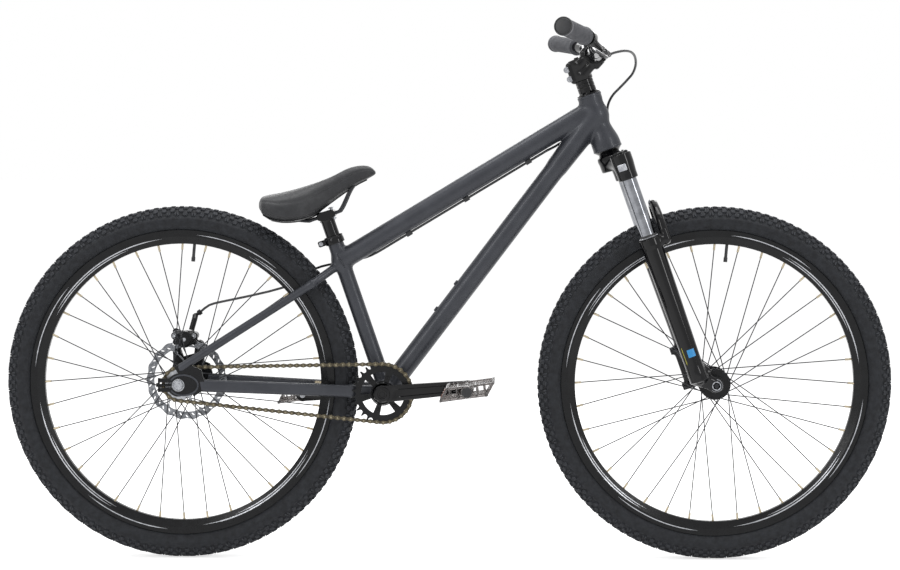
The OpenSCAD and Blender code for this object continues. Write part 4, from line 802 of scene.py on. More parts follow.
def rough_frame():
    shape = Shape()
    shape.tube([steer(0, 0, s) for s in (496, 510, 552, 590, 608)], lambda t: 24, 24)
    shape.tube([TOP_AT, TOP_HEAD], 19.6, 24)
    shape.tube([SEAT_FOOT, DOWN_HEAD], 20.5, 24)
    shape.tube([on_seat(-6), SEAT_TOP], 15.4, 24)
    shape.tube([(BB.x, -36.5, BB.z), (BB.x, 36.5, BB.z)], 20.8, 24)
    for side in (1, -1):
        flip = Matrix.Diagonal((1, side, 1))
        shape.tube([flip @ v for v in SEATSTAY], 8, 16)
        for dz in (-5, 0, 5):
            shape.tube([flip @ v + Vector((0, 0, dz)) for v in CHAINSTAY], 6.2, 16)
    return shape


def bore(p, q, r):
    return Shape().tube([p, q], r, 40)


skin_over("frame_tubes", frame_field, rough_frame(), 2.4, MAT["frame_paint"], "frame",
          replaces=("head_tube", "top_tube", "down_tube", "seat_tube", "bottom_bracket_shell", "chainstays",
                    "seatstays"),
          cuts=(bore(steer(0, 0, 480), steer(0, 0, 620), 20.6), bore(on_seat(20), on_seat(330), 13.75),
                bore((BB.x, -60, BB.z), (BB.x, 60, BB.z), 17.1)))


def weld_bead(axis_at, axis_dir, radius, other, name_shape, lift=0.5, size=1.7, count=96, centre=None,
              start=0.0, sweep=2 * math.pi):
    """A bead of small overlapping coins where a tube meets another surface."""
    axis_dir = Vector(axis_dir).normalized()
    u = axis_dir.orthogonal().normalized()
    v = axis_dir.cross(u)
    line = []
    for k in range(count + 1):
        a = start + sweep * k / count
        out = math.cos(a) * u + math.sin(a) * v
        low, high = 0.0, centre
        for _ in range(26):
            mid = (low + high) / 2
            p = Vector(axis_at) + axis_dir * mid + out * radius
            if other(np.array([p]))[0] < 0:
                low = mid
            else:
                high = mid
        line.append(Vector(axis_at) + axis_dir * high + out * (radius + lift))
    path = curve_through(line, 3)
    name_shape.tube(path, lambda t: size * (0.8 + 0.2 * abs(math.sin(t * count * math.pi * 1.0))), 8)


beads = Shape()
weld_bead(TOP_HEAD, TOP_AT - TOP_HEAD, 20.4, lambda p: drum_field(p, steer(0, 0, 496), steer(0, 0, 608),
          head_radius, 1.2), beads, centre=70)
weld_bead(DOWN_HEAD, SEAT_FOOT - DOWN_HEAD, 23.4, lambda p: np.minimum(
          drum_field(p, steer(0, 0, 496), steer(0, 0, 608), head_radius, 1.2),
          bar_field(p, TOP_AT, TOP_HEAD, 19.6)), beads, centre=110)
weld_bead(TOP_AT, TOP_HEAD - TOP_AT, 20.4, lambda p: bar_field(p, on_seat(-6), SEAT_TOP, 15.4), beads, centre=60)
weld_bead(BB + Vector((5, 0, 0)), DOWN_DIR, 20.4, lambda p: np.minimum(
          bar_field(p, on_seat(-6), SEAT_TOP, 15.4),
          drum_field(p, (BB.x, -36.5, BB.z), (BB.x, 36.5, BB.z), 20.8, 1.0)), beads, centre=90)
weld_bead(on_seat(0), SEAT_DIR, 16.2, lambda p: drum_field(p, (BB.x, -36.5, BB.z), (BB.x, 36.5, BB.z),
          20.8, 1.0), beads, centre=60)
for side in (1, -1):
    flip = Matrix.Diagonal((1, side, 1))
    a, b = flip @ SEATSTAY[0], flip @ SEATSTAY[1]
    weld_bead(a, b - a, 8.5, lambda p: bar_field(p, on_seat(-6), SEAT_TOP, 15.4), beads, 0.3, 1.3, 48, 40)
beads.make("frame_welds", MAT["frame_paint"], "frame")

collars = Shape()
collars.turned([(20.7, 0.0), (27.4, 0.0), (28.4, 0.8), (28.4, 4.2), (27.8, 5.2), (20.7, 5.2)],
               steer(0, 0, 496), STEER_S, 72, loop=True)
collars.turned([(20.7, -5.4), (23.0, -5.4), (23.6, -4.6), (23.6, -0.8), (22.8, 0.0), (20.7, 0.0)],
               steer(0, 0, 608), STEER_S, 72, loop=True)
collars.turned([(17.2, 0), (20.9, 0), (21.4, 0.5), (21.4, 3), (20.9, 3.5), (17.2, 3.5)],
               (BB.x, -36.5, BB.z), (0, 1, 0), 56, loop=True)
collars.turned([(17.2, 0), (20.9, 0), (21.4, 0.5), (21.4, 3), (20.9, 3.5), (17.2, 3.5)],
               (BB.x, 36.5, BB.z), (0, -1, 0), 56, loop=True)
collars.make("frame_rims", MAT["frame_paint"], "frame", sharp=30)

bosses = Shape()
for t in (186, 250):
    at = SEAT_FOOT + t * DOWN_DIR + 19.2 * DOWN_UP
    bosses.turned([(2.2, 0), (5.6, 0), (5.6, 1.0), (5.0, 2.6), (4.4, 3.3), (2.2, 3.3)], at, DOWN_UP, 28, loop=True)
bosses.make("bottle_bosses", MAT["frame_paint"], "frame", sharp=30)

# fork
def leg_field(p):
    q = p * np.array([1, -1, 1])
    parts = []
    for side, r in ((1, p), (-1, q)):
        parts += [
            drum_field(r, steer(16, 65, 20), steer(16, 65, 310), lambda h: 16.9 + 3.9 * np.clip(
                (h - 14) / 276, 0, 1) + 0.9 * np.clip((h - 268) / 8, 0, 1), 1.4),
            bar_field(r, steer(16, 65, 34), steer(18, 63, 26), 15.6, 14.6),
            bar_field(r, steer(20, 60, 34), steer(40, 56, 10), 9.6, 8.2),
            bar_field(r, steer(8, 60, 22), steer(34, 56, 2), 7.6, 7.0),
            drum_field(r, steer(44, 50.2, 0), steer(44, 59.2, 0), 14.0, 1.6),
            bar_field(r, steer(20, 58, 62), steer(40, 56, 30), 5.8, 5.4),
            bar_field(r, steer(18, 68, 300), steer(44, 70, 299), 9.4, 8.6),
        ]
    arch = []
    for k in range(25):
        a = math.radians(180 * k / 24)
        arch.append(steer(47.0, 71.5 * math.cos(a), 299 + 71.5 * math.sin(a)))
    parts.append(np.minimum.reduce([bar_field(p, arch[k], arch[k + 1], 8.6) for k in range(24)]))
    for s in (6, 80):
        parts.append(drum_field(p, steer(16, 59, s), steer(-13.8, 59, s), 7.4, 1.0))
    parts.append(bar_field(p, steer(-1, 58, 8), steer(-1, 58, 78), 6.0))
    return melted(parts, 2.4)


def rough_legs():
    shape = Shape()
    for side in (1, -1):
        shape.tube([steer(16, side * 65, s) for s in (20, 120, 220, 310)], lambda t: 17.5 + 3 * t, 24)
        shape.tube([steer(20, side * 60, 34), steer(40, side * 56, 10)], 10, 16)
        shape.tube([steer(44, side * 50.2, 0), steer(44, side * 59.2, 0)], 13.8, 24)
        shape.tube([steer(6, side * 60, 24), steer(34, side * 56, 2)], 8, 16)
        shape.tube([steer(20, side * 58, 62), steer(40, side * 56, 30)], 6, 16)
        shape.tube([steer(18, side * 68, 300), steer(46, side * 70, 299)], 9, 16)
    shape.tube([steer(47, 71.5 * math.cos(math.pi * k / 24), 299 + 71.5 * math.sin(math.pi * k / 24))
                for k in range(25)], 8.5, 16)
    for s in (6, 80):
        shape.tube([steer(16, 59, s), steer(-13.8, 59, s)], 7.4, 20)
    shape.tube([steer(-1, 58, 6), steer(-1, 58, 80)], 6, 16)
    return shape


leg_cuts = [bore(steer(16, side * 65, 40), steer(16, side * 65, 330), 15.2) for side in (1, -1)]
leg_cuts += [bore(steer(16, side * 65, 304), steer(16, side * 65, 330), 17.6) for side in (1, -1)]
leg_cuts += [bore(steer(44, -80, 0), steer(44, 80, 0), 4.7)]
leg_cuts += [Shape().block(steer(44, 0, -12), (4.6, 90, 12), (STEER_N, SIDE, STEER_S))]
leg_cuts += [bore(steer(4, 59, s), steer(-20, 59, s), 2.5) for s in (6, 80)]
skin_over("fork_legs", leg_field, rough_legs(), 1.9, MAT["gloss_black"], "fork_lower",
          replaces=("fork_lowers",), cuts=leg_cuts, rounds=4)


def crown_field(p):
    q = p * np.array([1, -1, 1])
    parts = [drum_field(p, steer(0, 0, 455), steer(0, 0, 484), 25.5, 3.0),
             drum_field(p, steer(0, 0, 478), steer(0, 0, 490), lambda h: 23.8 - 0.35 * h, 1.0)]
    for r in (p, q):
        parts += [
            drum_field(r, steer(16, 65, 430), steer(16, 65, 481.5),
                       lambda h: 19.4 + 1.4 * np.clip((h - 12) / 20, 0, 1), 2.4),
            bar_field(r, steer(2, 14, 470), steer(13, 55, 467), 12.6, 11.0),
            bar_field(r, steer(-10, 8, 468), steer(8, 58, 462), 8.0, 7.0),
            bar_field(r, steer(14, 8, 470), steer(24, 56, 466), 8.0, 7.0),
        ]
    return melted(parts, 2.8)


crown = Shape()
crown.tube([steer(0, 0, 455), steer(0, 0, 490)], 24, 28)
for side in (1, -1):
    crown.tube([steer(16, side * 65, 430), steer(16, side * 65, 481)], 20, 28)
    crown.tube([steer(2, side * 10, 469), steer(14, side * 60, 466)], 11.5, 20)
    crown.tube([steer(-10, side * 8, 468), steer(8, side * 58, 462)], 7.5, 16)
    crown.tube([steer(14, side * 8, 470), steer(24, side * 56, 466)], 7.5, 16)
skin_over("crown_forging", crown_field, crown, 1.7, MAT["gloss_black"], "fork_upper", replaces=("fork_crown",),
          cuts=[bore(steer(16, side * 65, 420), steer(16, side * 65, 474), 15.05) for side in (1, -1)], rounds=4)

crown_bits = Shape()
crown_bits.turned([(11.3, 478), (14.3, 478), (14.3, 674), (11.3, 674)], FOOT, STEER_S, 48, loop=True)
crown_bits.turned([(14.4, 489.6), (20.6, 489.6), (21.4, 490.6), (26.2, 495.2), (26.2, 495.7), (14.4, 495.7)],
                  FOOT, STEER_S, 64, loop=True)
for side in (1, -1):
    at = steer(16, side * 65, 0)
    crown_bits.turned([(0.05, 481.2), (15.4, 481.2), (16.4, 482), (16.4, 484.2), (15.2, 485.6), (9.5, 486.1),
                       (9.0, 485.2), (5.0, 485.2), (4.6, 484.0), (0.05, 484.0)], at, STEER_S, 40)
crown_bits.make("crown_caps", MAT["gloss_black"], "fork_upper", sharp=28)

plates = Shape()
for side in (1, -1):
    out = (STEER_N * -0.25 + SIDE * side).normalized()
    along = STEER_S
    wide = out.cross(along).normalized()
    at = steer(16, side * 65, 455) + out * 20.9
    plates.block(at, (8.5, 6.2, 0.9), (wide, along, out), 0.6)
    plates.turned([(0.05, 0.6), (2.6, 0.6), (2.6, 2.2), (1.4, 2.2), (1.3, 1.4), (0.05, 1.4)], at, out, 16)
plates.make("crown_clasp_plates", MAT["steel"], "fork_upper", sharp=30)

wipers = Shape()
for side in (1, -1):
    at = steer(16, side * 65, 0)
    wipers.turned([(15.1, 306), (17.2, 306), (17.2, 310.2), (20.2, 310.4), (20.6, 311.2), (20.2, 312.2),
                   (18.4, 313.0), (17.0, 316.2), (15.9, 317.4), (15.1, 317.0)], at, STEER_S, 48, loop=True)
wipers.make("fork_wipers", MAT["seal_rubber"], "fork_lower", sharp=25, replaces=("fork_seals",))
rings = Shape()
for side in (1, -1):
    at = steer(16, side * 65, 0)
    rings.turned([(19.0, 312.6), (19.9, 312.4), (20.1, 313.0), (18.9, 313.6)], at, STEER_S, 48, loop=True)
rings.make("wiper_springs", MAT["steel"], "fork_lower")

MAT["sticker_blue"] = material("sticker_blue", "#2a86c4", "#3394d2", (0.3, 0.4), 0.0, 200, 0.02, 900)
MAT["line_yellow"] = material("line_yellow", "#a9a43a", "#bdb84a", (0.35, 0.45), 0.0, 200, 0.02, 900)


def leg_patch(name, side, low, high, middle, half_angle, made, lift=0.25):
    """A thin plain patch that lies on the round front of a fork leg."""
    shape = Shape()
    rings = []
    for k in range(9):
        s = low + (high - low) * k / 8
        r = 16.9 + 3.9 * min(1, max(0, (s - 34) / 276))
        ring = []
        for lift_now, order in ((lift, range(7)), (-0.4, range(6, -1, -1))):
            for j in order:
                a = math.radians(middle + half_angle * (j / 3 - 1))
                ring.append(steer(16 + (r + lift_now) * math.sin(a), side * (65 + (r + lift_now) * math.cos(a)), s))
        rings.append(ring)
    shape.rings(rings)
    return shape.make(name, made, "fork_lower", slot="gloss_black", sharp=30)


leg_patch("leg_square", -1, 70, 85, 8, 24, MAT["sticker_blue"])
leg_patch("leg_line_left", -1, 58, 92, -44, 2.4, MAT["line_yellow"])

bolts = Shape()
for side in (-1, 1):
    at = FRONT + Vector((0, side * 59.0, 0))
    bolts.turned([(4.6, 0), (11.6, 0), (12, 0.4), (12, 1.6), (11.2, 2.2), (4.6, 2.2)], at, SIDE * side, 40, loop=True)
    hexagon = []
    bolts.turned([(4.6, 2.2), (9.2, 2.2), (9.2, 3.2), (8.4, 7.2), (7.6, 8.0), (4.6, 8.0)], at, SIDE * side, 6, loop=True)
    bolts.turned([(0.05, 7.8), (4.4, 7.8), (4.4, 8.6), (3.9, 9.0), (0.05, 9.0)], at, SIDE * side, 24)
bolts.make("front_axle_nuts", MAT["black_steel"], "fork_lower", sharp=25)

# cockpit
STEM_RISE = math.radians(29)
BAR_N, BAR_S = 35.86, 677.88
STEM_X = math.cos(STEM_RISE) * STEER_N + math.sin(STEM_RISE) * STEER_S
STEM_Z = -math.sin(STEM_RISE) * STEER_N + math.cos(STEM_RISE) * STEER_S
BAR_MID = steer(BAR_N, 0, BAR_S)


def at_stem(x, y, z):
    return BAR_MID + x * STEM_X + Vector((0, y, 0)) + z * STEM_Z


def stem_field(p):
    parts = [
        drum_field(p, steer(0, 0, 638.2), steer(0, 0, 677.8), 18.6, 1.6),
        drum_field(p, at_stem(0, -23, 0), at_stem(0, 23, 0), 20.4, 1.4),
    ]
    for side in (1, -1):
        parts += [bar_field(p, at_stem(-34, side * 7, 5), at_stem(-12, side * 9, 7), 7.4),
                  bar_field(p, at_stem(-34, side * 7, -5), at_stem(-12, side * 9, -7), 7.4),
                  bar_field(p, steer(-18, side * 6, 643), steer(-18, side * 6, 673), 6.4),
                  bar_field(p, steer(2, side * 12, 648), at_stem(-4, side * 13, -9), 9.5),
                  bar_field(p, steer(2, side * 12, 669), at_stem(-4, side * 13, 9), 9.5),
                  bar_field(p, at_stem(-14, side * 16, 19.4), at_stem(2, side * 16, 19.4), 5.0),
                  bar_field(p, at_stem(-14, side * 16, -19.4), at_stem(2, side * 16, -19.4), 5.0)]
    return melted(parts, 1.8)


rough = Shape()
rough.tube([steer(0, 0, 638), steer(0, 0, 678)], 18.6, 28)
rough.tube([at_stem(0, -23, 0), at_stem(0, 23, 0)], 20.2, 28)
for side in (1, -1):
    for z in (5, -5):
        rough.tube([at_stem(-34, side * 7, z), at_stem(-12, side * 9, z * 1.4)], 7.4, 16)
    rough.tube([steer(-18, side * 6, 640), steer(-18, side * 6, 676)], 6.4, 16)
    rough.tube([steer(2, side * 12, 648), at_stem(-4, side * 13, -9)], 10, 16)
    rough.tube([steer(2, side * 12, 669), at_stem(-4, side * 13, 9)], 10, 16)
    for z in (19.4, -19.4):
        rough.tube([at_stem(-17, side * 16, z), at_stem(5, side * 16, z)], 5, 14)
stem_cuts = [bore(steer(0, 0, 630), steer(0, 0, 700), 14.35), bore(at_stem(0, -60, 0), at_stem(0, 60, 0), 15.95),
             Shape().block(at_stem(31, 0, 0), (30, 60, 60), (STEM_X, SIDE, STEM_Z)),
             Shape().block(steer(-26, 0, 658), (13, 1, 40), (STEER_N, SIDE, STEER_S))]
skin_over("stem_forging", stem_field, rough, 1.3, MAT["gloss_black"], "fork_upper", replaces=("stem",),
          cuts=stem_cuts, rounds=4)

face = Shape()
for y0, y1, a0 in ((-23, -7, 0), (7, 23, 0)):
    rings = []
    for k in range(21):
        a = math.radians(-84 + 168 * k / 20)
        c, s = turn(a)
        ring = []
        for r, y in ((15.95, y0 + 0.6), (15.95, y1 - 0.6), (19.6, y1), (20.4, y1 - 0.9), (20.4, y0 + 0.9),
                     (19.6, y0)):
            ring.append(at_stem(r * c, y, r * s))
        rings.append(ring)
    face.rings(rings)
for z in (1, -1):
    face.block(at_stem(4.4, 0, z * 19.2), (3.3, 22.6, 4.6), (STEM_X, SIDE, STEM_Z), 1.4)
face.make("faceplate", MAT["gloss_black"], "fork_upper", replaces=("stem_faceplate",), bevel=0.5)

screws = Shape()
for y in (-16, 16):
    for z in (-19.4, 19.4):
        at = at_stem(7.6, y, z)
        screws.turned([(0.05, -8), (2.4, -8), (2.4, 0), (4.2, 0), (4.2, 3.0), (3.7, 3.8), (2.0, 3.9), (1.9, 1.6),
                       (0.05, 1.5)], at, STEM_X, 18)
for s in (648, 667):
    at = steer(-25, -12.4, s)
    screws.turned([(0.05, -20), (2.4, -20), (2.4, 0), (4.2, 0), (4.2, 3.4), (3.7, 4.2), (2.2, 4.3), (2.0, 1.6),
                   (0.05, 1.5)], at, -SIDE, 18)
    screws.turned([(2.6, 0), (5.6, 0), (6.0, 0.6), (6.0, 6.6), (2.6, 6.6)], steer(-25, -5.2, s), -SIDE, 24, loop=True)
screws.make("stem_screws", MAT["steel"], "fork_upper", replaces=("stem_bolts",), sharp=30)

cap = Shape()
cap.turned([(0.05, 676), (17.0, 676.5), (18.4, 678.3), (18.6, 679.4), (17.6, 681.0), (8, 681.6), (7.4, 680.8),
            (4.8, 680.8), (4.6, 683.4), (4.1, 684.0), (2.4, 684.0), (2.2, 682.0), (0.05, 682.0)], FOOT, STEER_S, 56)
cap.make("top_cap_disc", MAT["gloss_black"], "fork_upper", sharp=28, replaces=("headset_top_cap",))

spacers = Shape()
spacers.turned([(14.35, 608.3), (22.6, 608.3), (23.2, 608.9), (22.8, 610.4), (18.2, 614.0), (14.35, 614.0)],
               FOOT, STEER_S, 64, loop=True)
for low, high in ((614.1, 624.0), (624.2, 631.0), (631.2, 638.0)):
    spacers.turned([(14.35, low), (17.1, low), (17.5, low + 0.5), (17.5, high - 0.5), (17.1, high), (14.35, high)],
                   FOOT, STEER_S, 56, loop=True)
spacers.make("spacer_stack", MAT["gloss_black"], "fork_upper", sharp=28, replaces=("headset_spacers",))

# Grips, with ribs between two smooth collars and a hard ring at the inner end
BAR_BEND = Vector((30.86, 205, 700.88))
BAR_END = Vector((-16.14, 372, 734.88))
GRIP = (BAR_END - BAR_BEND).normalized()
MAT["grip_ring"] = material("grip_ring", "#17181a", "#222327", (0.4, 0.5), 0.0, 120, 0.1, 1400)
MAT["grip_ring"]["slot"] = "black_plastic"
for label, side in (("left", 1), ("right", -1)):
    at = steer(BAR_END.x, side * BAR_END.y, BAR_END.z)
    inner = steer(BAR_BEND.x, side * BAR_BEND.y, BAR_BEND.z)
    axis = (at - inner).normalized()
    profile = [(11.2, -131.8), (14.8, -131.8), (17.2, -131.0), (17.4, -129.4), (16.8, -128.0), (15.6, -127.0)]
    h = -125.6
    while h < -14:
        profile += [(15.0, h), (15.9, h + 0.4), (15.9, h + 1.7), (15.0, h + 2.1)]
        h += 3.1
    profile += [(15.6, -12.4), (15.9, -11.6), (15.9, -6.4), (16.8, -5.2), (17.3, -3.8), (17.3, -1.2), (16.6, -0.2),
                (11.2, -0.2)]
    grip = Shape().turned(profile, at, axis, 56, loop=True)
    made = grip.make("grip_" + label, MAT["grip_rubber"], "fork_upper", sharp=24)
    if side == 1:
        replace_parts(made, "grips")
    end = Shape().turned([(0.05, 2.6), (11.0, 2.8), (13.6, 2.2), (14.6, 1.0), (14.8, -0.4), (11.4, -0.6), (0.05, -0.6)],
                         at, axis, 48)
    end.turned([(15.1, -0.2), (16.8, -0.1), (17.2, 0.5), (16.6, 1.2), (15.1, 1.0)], at, axis, 48, loop=True)
    made = end.make("grip_end_" + label, MAT["grip_ring"], "fork_upper", sharp=28)
    if side == 1:
        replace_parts(made, "bar_end_plugs")

# Brake lever: points are given with the bar at the origin and the blade in the X-Y plane
LEVER_TURN = (Matrix.Rotation(math.atan2(-GRIP.x, GRIP.y), 3, "Z") @ Matrix.Rotation(math.asin(GRIP.z), 3, "X")
              @ Matrix.Rotation(math.radians(62), 3, "Y"))
LEVER_AT = BAR_BEND + 16 * GRIP
REACH = 42


def at_lever(x, y, z):
    p = LEVER_AT + LEVER_TURN @ Vector((x, y, z))
    return steer(p.x, -p.y, p.z)


def lever_way(x, y, z):
    return (at_lever(x, y, z) - at_lever(0, 0, 0)).normalized()


BLADE = [(-6, -3, 3), (0, 0, 7), (8, 10, 6.6), (13, 20, 5.6), (12, 34, 5), (9, 50, 4.6), (6, 66, 4.4),
         (5, 78, 4.4), (8, 88, 4.8), (13, 95, 4.6), (17, 99, 2.4)]
blade_line = curve_through([(x, y, 0) for x, y, _ in BLADE], 4)
blade_half = curve_through([(w, 0, 0) for _, _, w in BLADE], 4)
blade = Shape()
rings = []
for i, (p, w) in enumerate(zip(blade_line, blade_half)):
    t = (blade_line[min(i + 1, len(blade_line) - 1)] - blade_line[max(i - 1, 0)]).normalized()
    n = Vector((-t.y, t.x, 0))
    thick = 3.15
    ring = []
    for k in range(14):
        c, s = turn(2 * math.pi * k / 14)
        q = p + n * (w.x * abs(c) ** 0.8 * (1 if c > 0 else -1))
        ring.append(at_lever(REACH + q.x, 6 + q.y, thick * abs(s) ** 0.6 * (1 if s > 0 else -1)))
    rings.append(ring)
blade.rings(rings)
blade.make("lever_blade", MAT["lever_black"], "brake_lever", replaces=("brake_lever",), sharp=60)


def bracket_field(p):
    u, v, w = (np.array(lever_way(*e)) for e in ((1, 0, 0), (0, 1, 0), (0, 0, 1)))
    parts = [
        drum_field(p, at_lever(0, -8.6, 0), at_lever(0, 8.6, 0), 14.9, 1.6),
        bar_field(p, at_lever(10, 0, 0), at_lever(30, 0, 0), 7.6, 6.6),
        bar_field(p, at_lever(30, -6, 0), at_lever(REACH + 2, 6, 0), 7.4, 7.8),
        bar_field(p, at_lever(REACH - 8, -8, 0), at_lever(REACH - 5, -26, 0), 6.4, 5.6),
        drum_field(p, at_lever(REACH - 5, -24, 0), at_lever(REACH - 5, -33, 0), 5.6, 0.6),
    ]
    return melted(parts, 1.8)


rough = Shape()
rough.tube([at_lever(0, -8.6, 0), at_lever(0, 8.6, 0)], 14.9, 28)
rough.tube([at_lever(8, 0, 0), at_lever(30, 0, 0)], 7.4, 16)
rough.tube([at_lever(28, -6, 0), at_lever(REACH + 6, 8, 0)], 7.4, 16)
rough.tube([at_lever(REACH - 8, -8, 0), at_lever(REACH - 5, -26, 0)], 6, 16)
rough.tube([at_lever(REACH - 5, -22, 0), at_lever(REACH - 5, -33, 0)], 5.6, 20)
skin_over("lever_clamp", bracket_field, rough, 1.0, MAT["lever_black"], "fork_upper",
          replaces=("lever_bracket",), rounds=3, cuts=[
              bore(at_lever(0, -30, 0), at_lever(0, 30, 0), 11.15),
              Shape().block(at_lever(REACH + 8, 14, 0), (18, 20, 3.45),
                            (lever_way(1, 0, 0), lever_way(0, 1, 0), lever_way(0, 0, 1)))])
fittings = Shape()
fittings.turned([(0.05, -9), (3.6, -9), (4.0, -8.4), (2.45, -8.2), (2.45, 8.2), (4.0, 8.4), (3.6, 9), (0.05, 9)],
                at_lever(REACH, 6, 0), lever_way(0, 0, 1), 24)
barrel = [(0.05, 0)]
for k in range(5):
    barrel += [(5.0, 0.3 + 2.2 * k), (5.4, 0.9 + 2.2 * k), (5.4, 1.7 + 2.2 * k), (4.9, 2.2 + 2.2 * k)]
barrel += [(3.4, 11.6), (3.2, 13.6), (0.05, 13.6)]
fittings.turned(barrel, at_lever(REACH - 5, -30.5, 0), lever_way(0, -1, 0), 20)
fittings.turned([(0.05, 0), (3.8, 0), (3.8, 3), (1.9, 3.1), (1.8, 1.4), (0.05, 1.4)], at_lever(6, 0, -14.6),
                lever_way(0, 0, -1), 18)
fittings.make("lever_fittings", MAT["black_steel"], "fork_upper", sharp=30)

# brake cable
LOOP = [(305.1, -188.2, 971.8), (315, -176, 976), (333, -154, 980), (347, -130, 979), (356, -104, 971),
        (359, -76, 957), (355, -50, 942), (345, -30, 929), (332, -14, 915), (319, 0, 901), (311, 11, 885),
        (309, 19, 868), (311, 24, 853)]
loop = Shape().tube(curve_through(LOOP, 8), 2.5, 12)
loop = loop.make("cable_loop", MAT["housing"], None, sharp=60)
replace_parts(loop, "brake_housing_loop")
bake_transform(loop)

# saddle and seatpost
SADDLE = on_seat(350) + Vector((-20, 0, 21.554))
STATIONS = [(-112.5, 0.30, 16, 10, 3), (-108, 0.62, 24, 10, -3), (-102, 0.84, 27.5, 7, -11), (-88, 0.965, 31, 1.5, -19),
            (-68, 1, 35, -5, -22.5), (-44, 0.95, 41, -7, -22), (-22, 0.82, 47.5, -4, -17.5), (-4, 0.63, 53.5, 4, -9.5),
            (8, 0.52, 58, 14, 1.5), (28, 0.41, 66, 28, 16.5), (58, 0.33, 80.5, 50, 38), (80, 0.30, 86, 64, 51.5),
            (96, 0.265, 86, 70, 59.5), (105, 0.20, 82.5, 72, 64.5), (110.5, 0.12, 77.5, 72, 68), (113, 0.05, 74, 72.5, 70.5)]


def signed_power(v, e):
    return math.copysign(abs(v) ** e, v)


def station_at(x):
    for a, b in zip(STATIONS, STATIONS[1:]):
        if a[0] <= x <= b[0]:
            t = (x - a[0]) / (b[0] - a[0])
            return [u + (v - u) * t for u, v in zip(a, b)]
    return list(STATIONS[0] if x < STATIONS[0][0] else STATIONS[-1])


def saddle_skin():
    """A moulded saddle: domed top, a welt where the side panel is sewn on, and a tucked lower edge."""
    line = curve_through([Vector((s[0], s[1] * 68, s[2])) for s in STATIONS], 5)
    low = curve_through([Vector((s[0], s[3], s[4])) for s in STATIONS], 5)
    rings = []
    sides = 56
    for p, q in zip(line, low):
        half, top, edge, floor = p.y, p.z, q.y, q.z
        ring = []
        for k in range(sides):
            c, s = turn(2 * math.pi * k / sides)
            y = half * signed_power(c, 0.72)
            z = edge + (top - edge) * s ** 0.82 if s >= 0 else edge - (edge - floor) * (-s) ** 0.55
            if s >= 0:
                welt = math.exp(-((s - 0.42) / 0.055) ** 2)
                y *= 1 - 0.022 * welt
                z -= 0.9 * welt * abs(c)
                z -= 1.8 * math.exp(-(y / 7.5) ** 2) * min(1, max(0, (60 - p.x) / 50)) * min(1, max(0, (p.x + 96) / 30))
            ring.append(SADDLE + Vector((p.x, y, z)))
        rings.append(ring)
    shape = Shape().rings(rings)
    made = shape.make("saddle_skin", MAT["saddle_skin"], None, slot="saddle_skin", sharp=180, subsurf=1)
    bpy.context.view_layer.update()
    data = bpy.data.meshes.new_from_object(made.evaluated_get(bpy.context.evaluated_depsgraph_get()))
    made.modifiers.clear()
    made.data = data
    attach(made, "seat")
    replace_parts(made, "saddle_cover")
    return made


saddle_skin()

# Stitches along the side seam, and the rolled edge under it
stitches = Shape()
welt = Shape()
for side in (1, -1):
    seam, edge_line = [], []
    for k in range(61):
        x = -100 + 205 * k / 60
        _, share, top, edge, floor = station_at(x)
        s = 0.42
        c = math.sqrt(1 - s * s)
        seam.append(SADDLE + Vector((x, side * (68 * share * c ** 0.72 * 0.978 + 0.15), edge + (top - edge) * s ** 0.82 - 0.4)))
        edge_line.append(SADDLE + Vector((x, side * (68 * share * 0.985), edge - (edge - floor) * 0.42)))
    path = curve_through(seam, 3)
    for i in range(0, len(path) - 3, 3):
        stitches.tube([path[i], path[i + 2]], 0.42, 6)
    welt.tube(curve_through(edge_line, 2), 0.9, 8)
stitches.make("saddle_stitches", MAT["saddle_shell"], "seat", sharp=60)
welt.make("saddle_edge", MAT["saddle_shell"], "seat", sharp=60)


def shell_under():
    """The moulded base that shows under the cover."""
    rings = []
    for x, share, top, edge, floor in STATIONS[2:-2]:
        half = 68 * share - 5.5
        ring = []
        for k in range(28):
            c, s = turn(2 * math.pi * k / 28)
            z = floor + 1.2 + (3.2 if s > 0 else 4.2) * s * (0.6 + 0.4 * abs(c)) + 2.0
            ring.append(SADDLE + Vector((x, half * signed_power(c, 0.6), z)))
        rings.append(ring)
    shape = Shape().rings(rings)
    for y in (-16, 0, 16):
        ribs = [SADDLE + Vector((x, y * share * 1.2, floor - 0.6)) for x, share, top, edge, floor in STATIONS[3:-3]]
        shape.tube(curve_through(ribs, 3), 1.6, 8)
    made = shape.make("saddle_shell_moulding", MAT["saddle_shell"], "seat", sharp=40)
    return made


shell_under()


def rail_point(x):
    return (x, 22, -12.8 + (x - 10) * math.tan(math.radians(17)))


RAIL = [(-88, 27, 4), (-78, 27, -8), (-62, 26, -14), (-40, 24, -18.5), rail_point(-16), rail_point(-8),
        rail_point(38), (46, 21.5, 1), (54, 19, 16), (63, 15.5, 36), (72, 12, 50)]
rails = Shape()
for side in (1, -1):
    rails.tube(curve_through([SADDLE + Vector((x, side * y, z)) for x, y, z in RAIL], 6), 3.45, 18)
rails.make("saddle_rail_wire", MAT["black_steel"], "seat", replaces=("saddle_rails",), sharp=60)

# Post head: lower cradle, upper clamp halves and two bolts
RAIL_MID = SADDLE + Vector((18, 0, -10.354))
RAIL_X = Vector((math.cos(math.radians(17)), 0, math.sin(math.radians(17))))
RAIL_Z = Vector((-RAIL_X.z, 0, RAIL_X.x))


def at_rail(x, y, z):
    return RAIL_MID + x * RAIL_X + Vector((0, y, 0)) + z * RAIL_Z


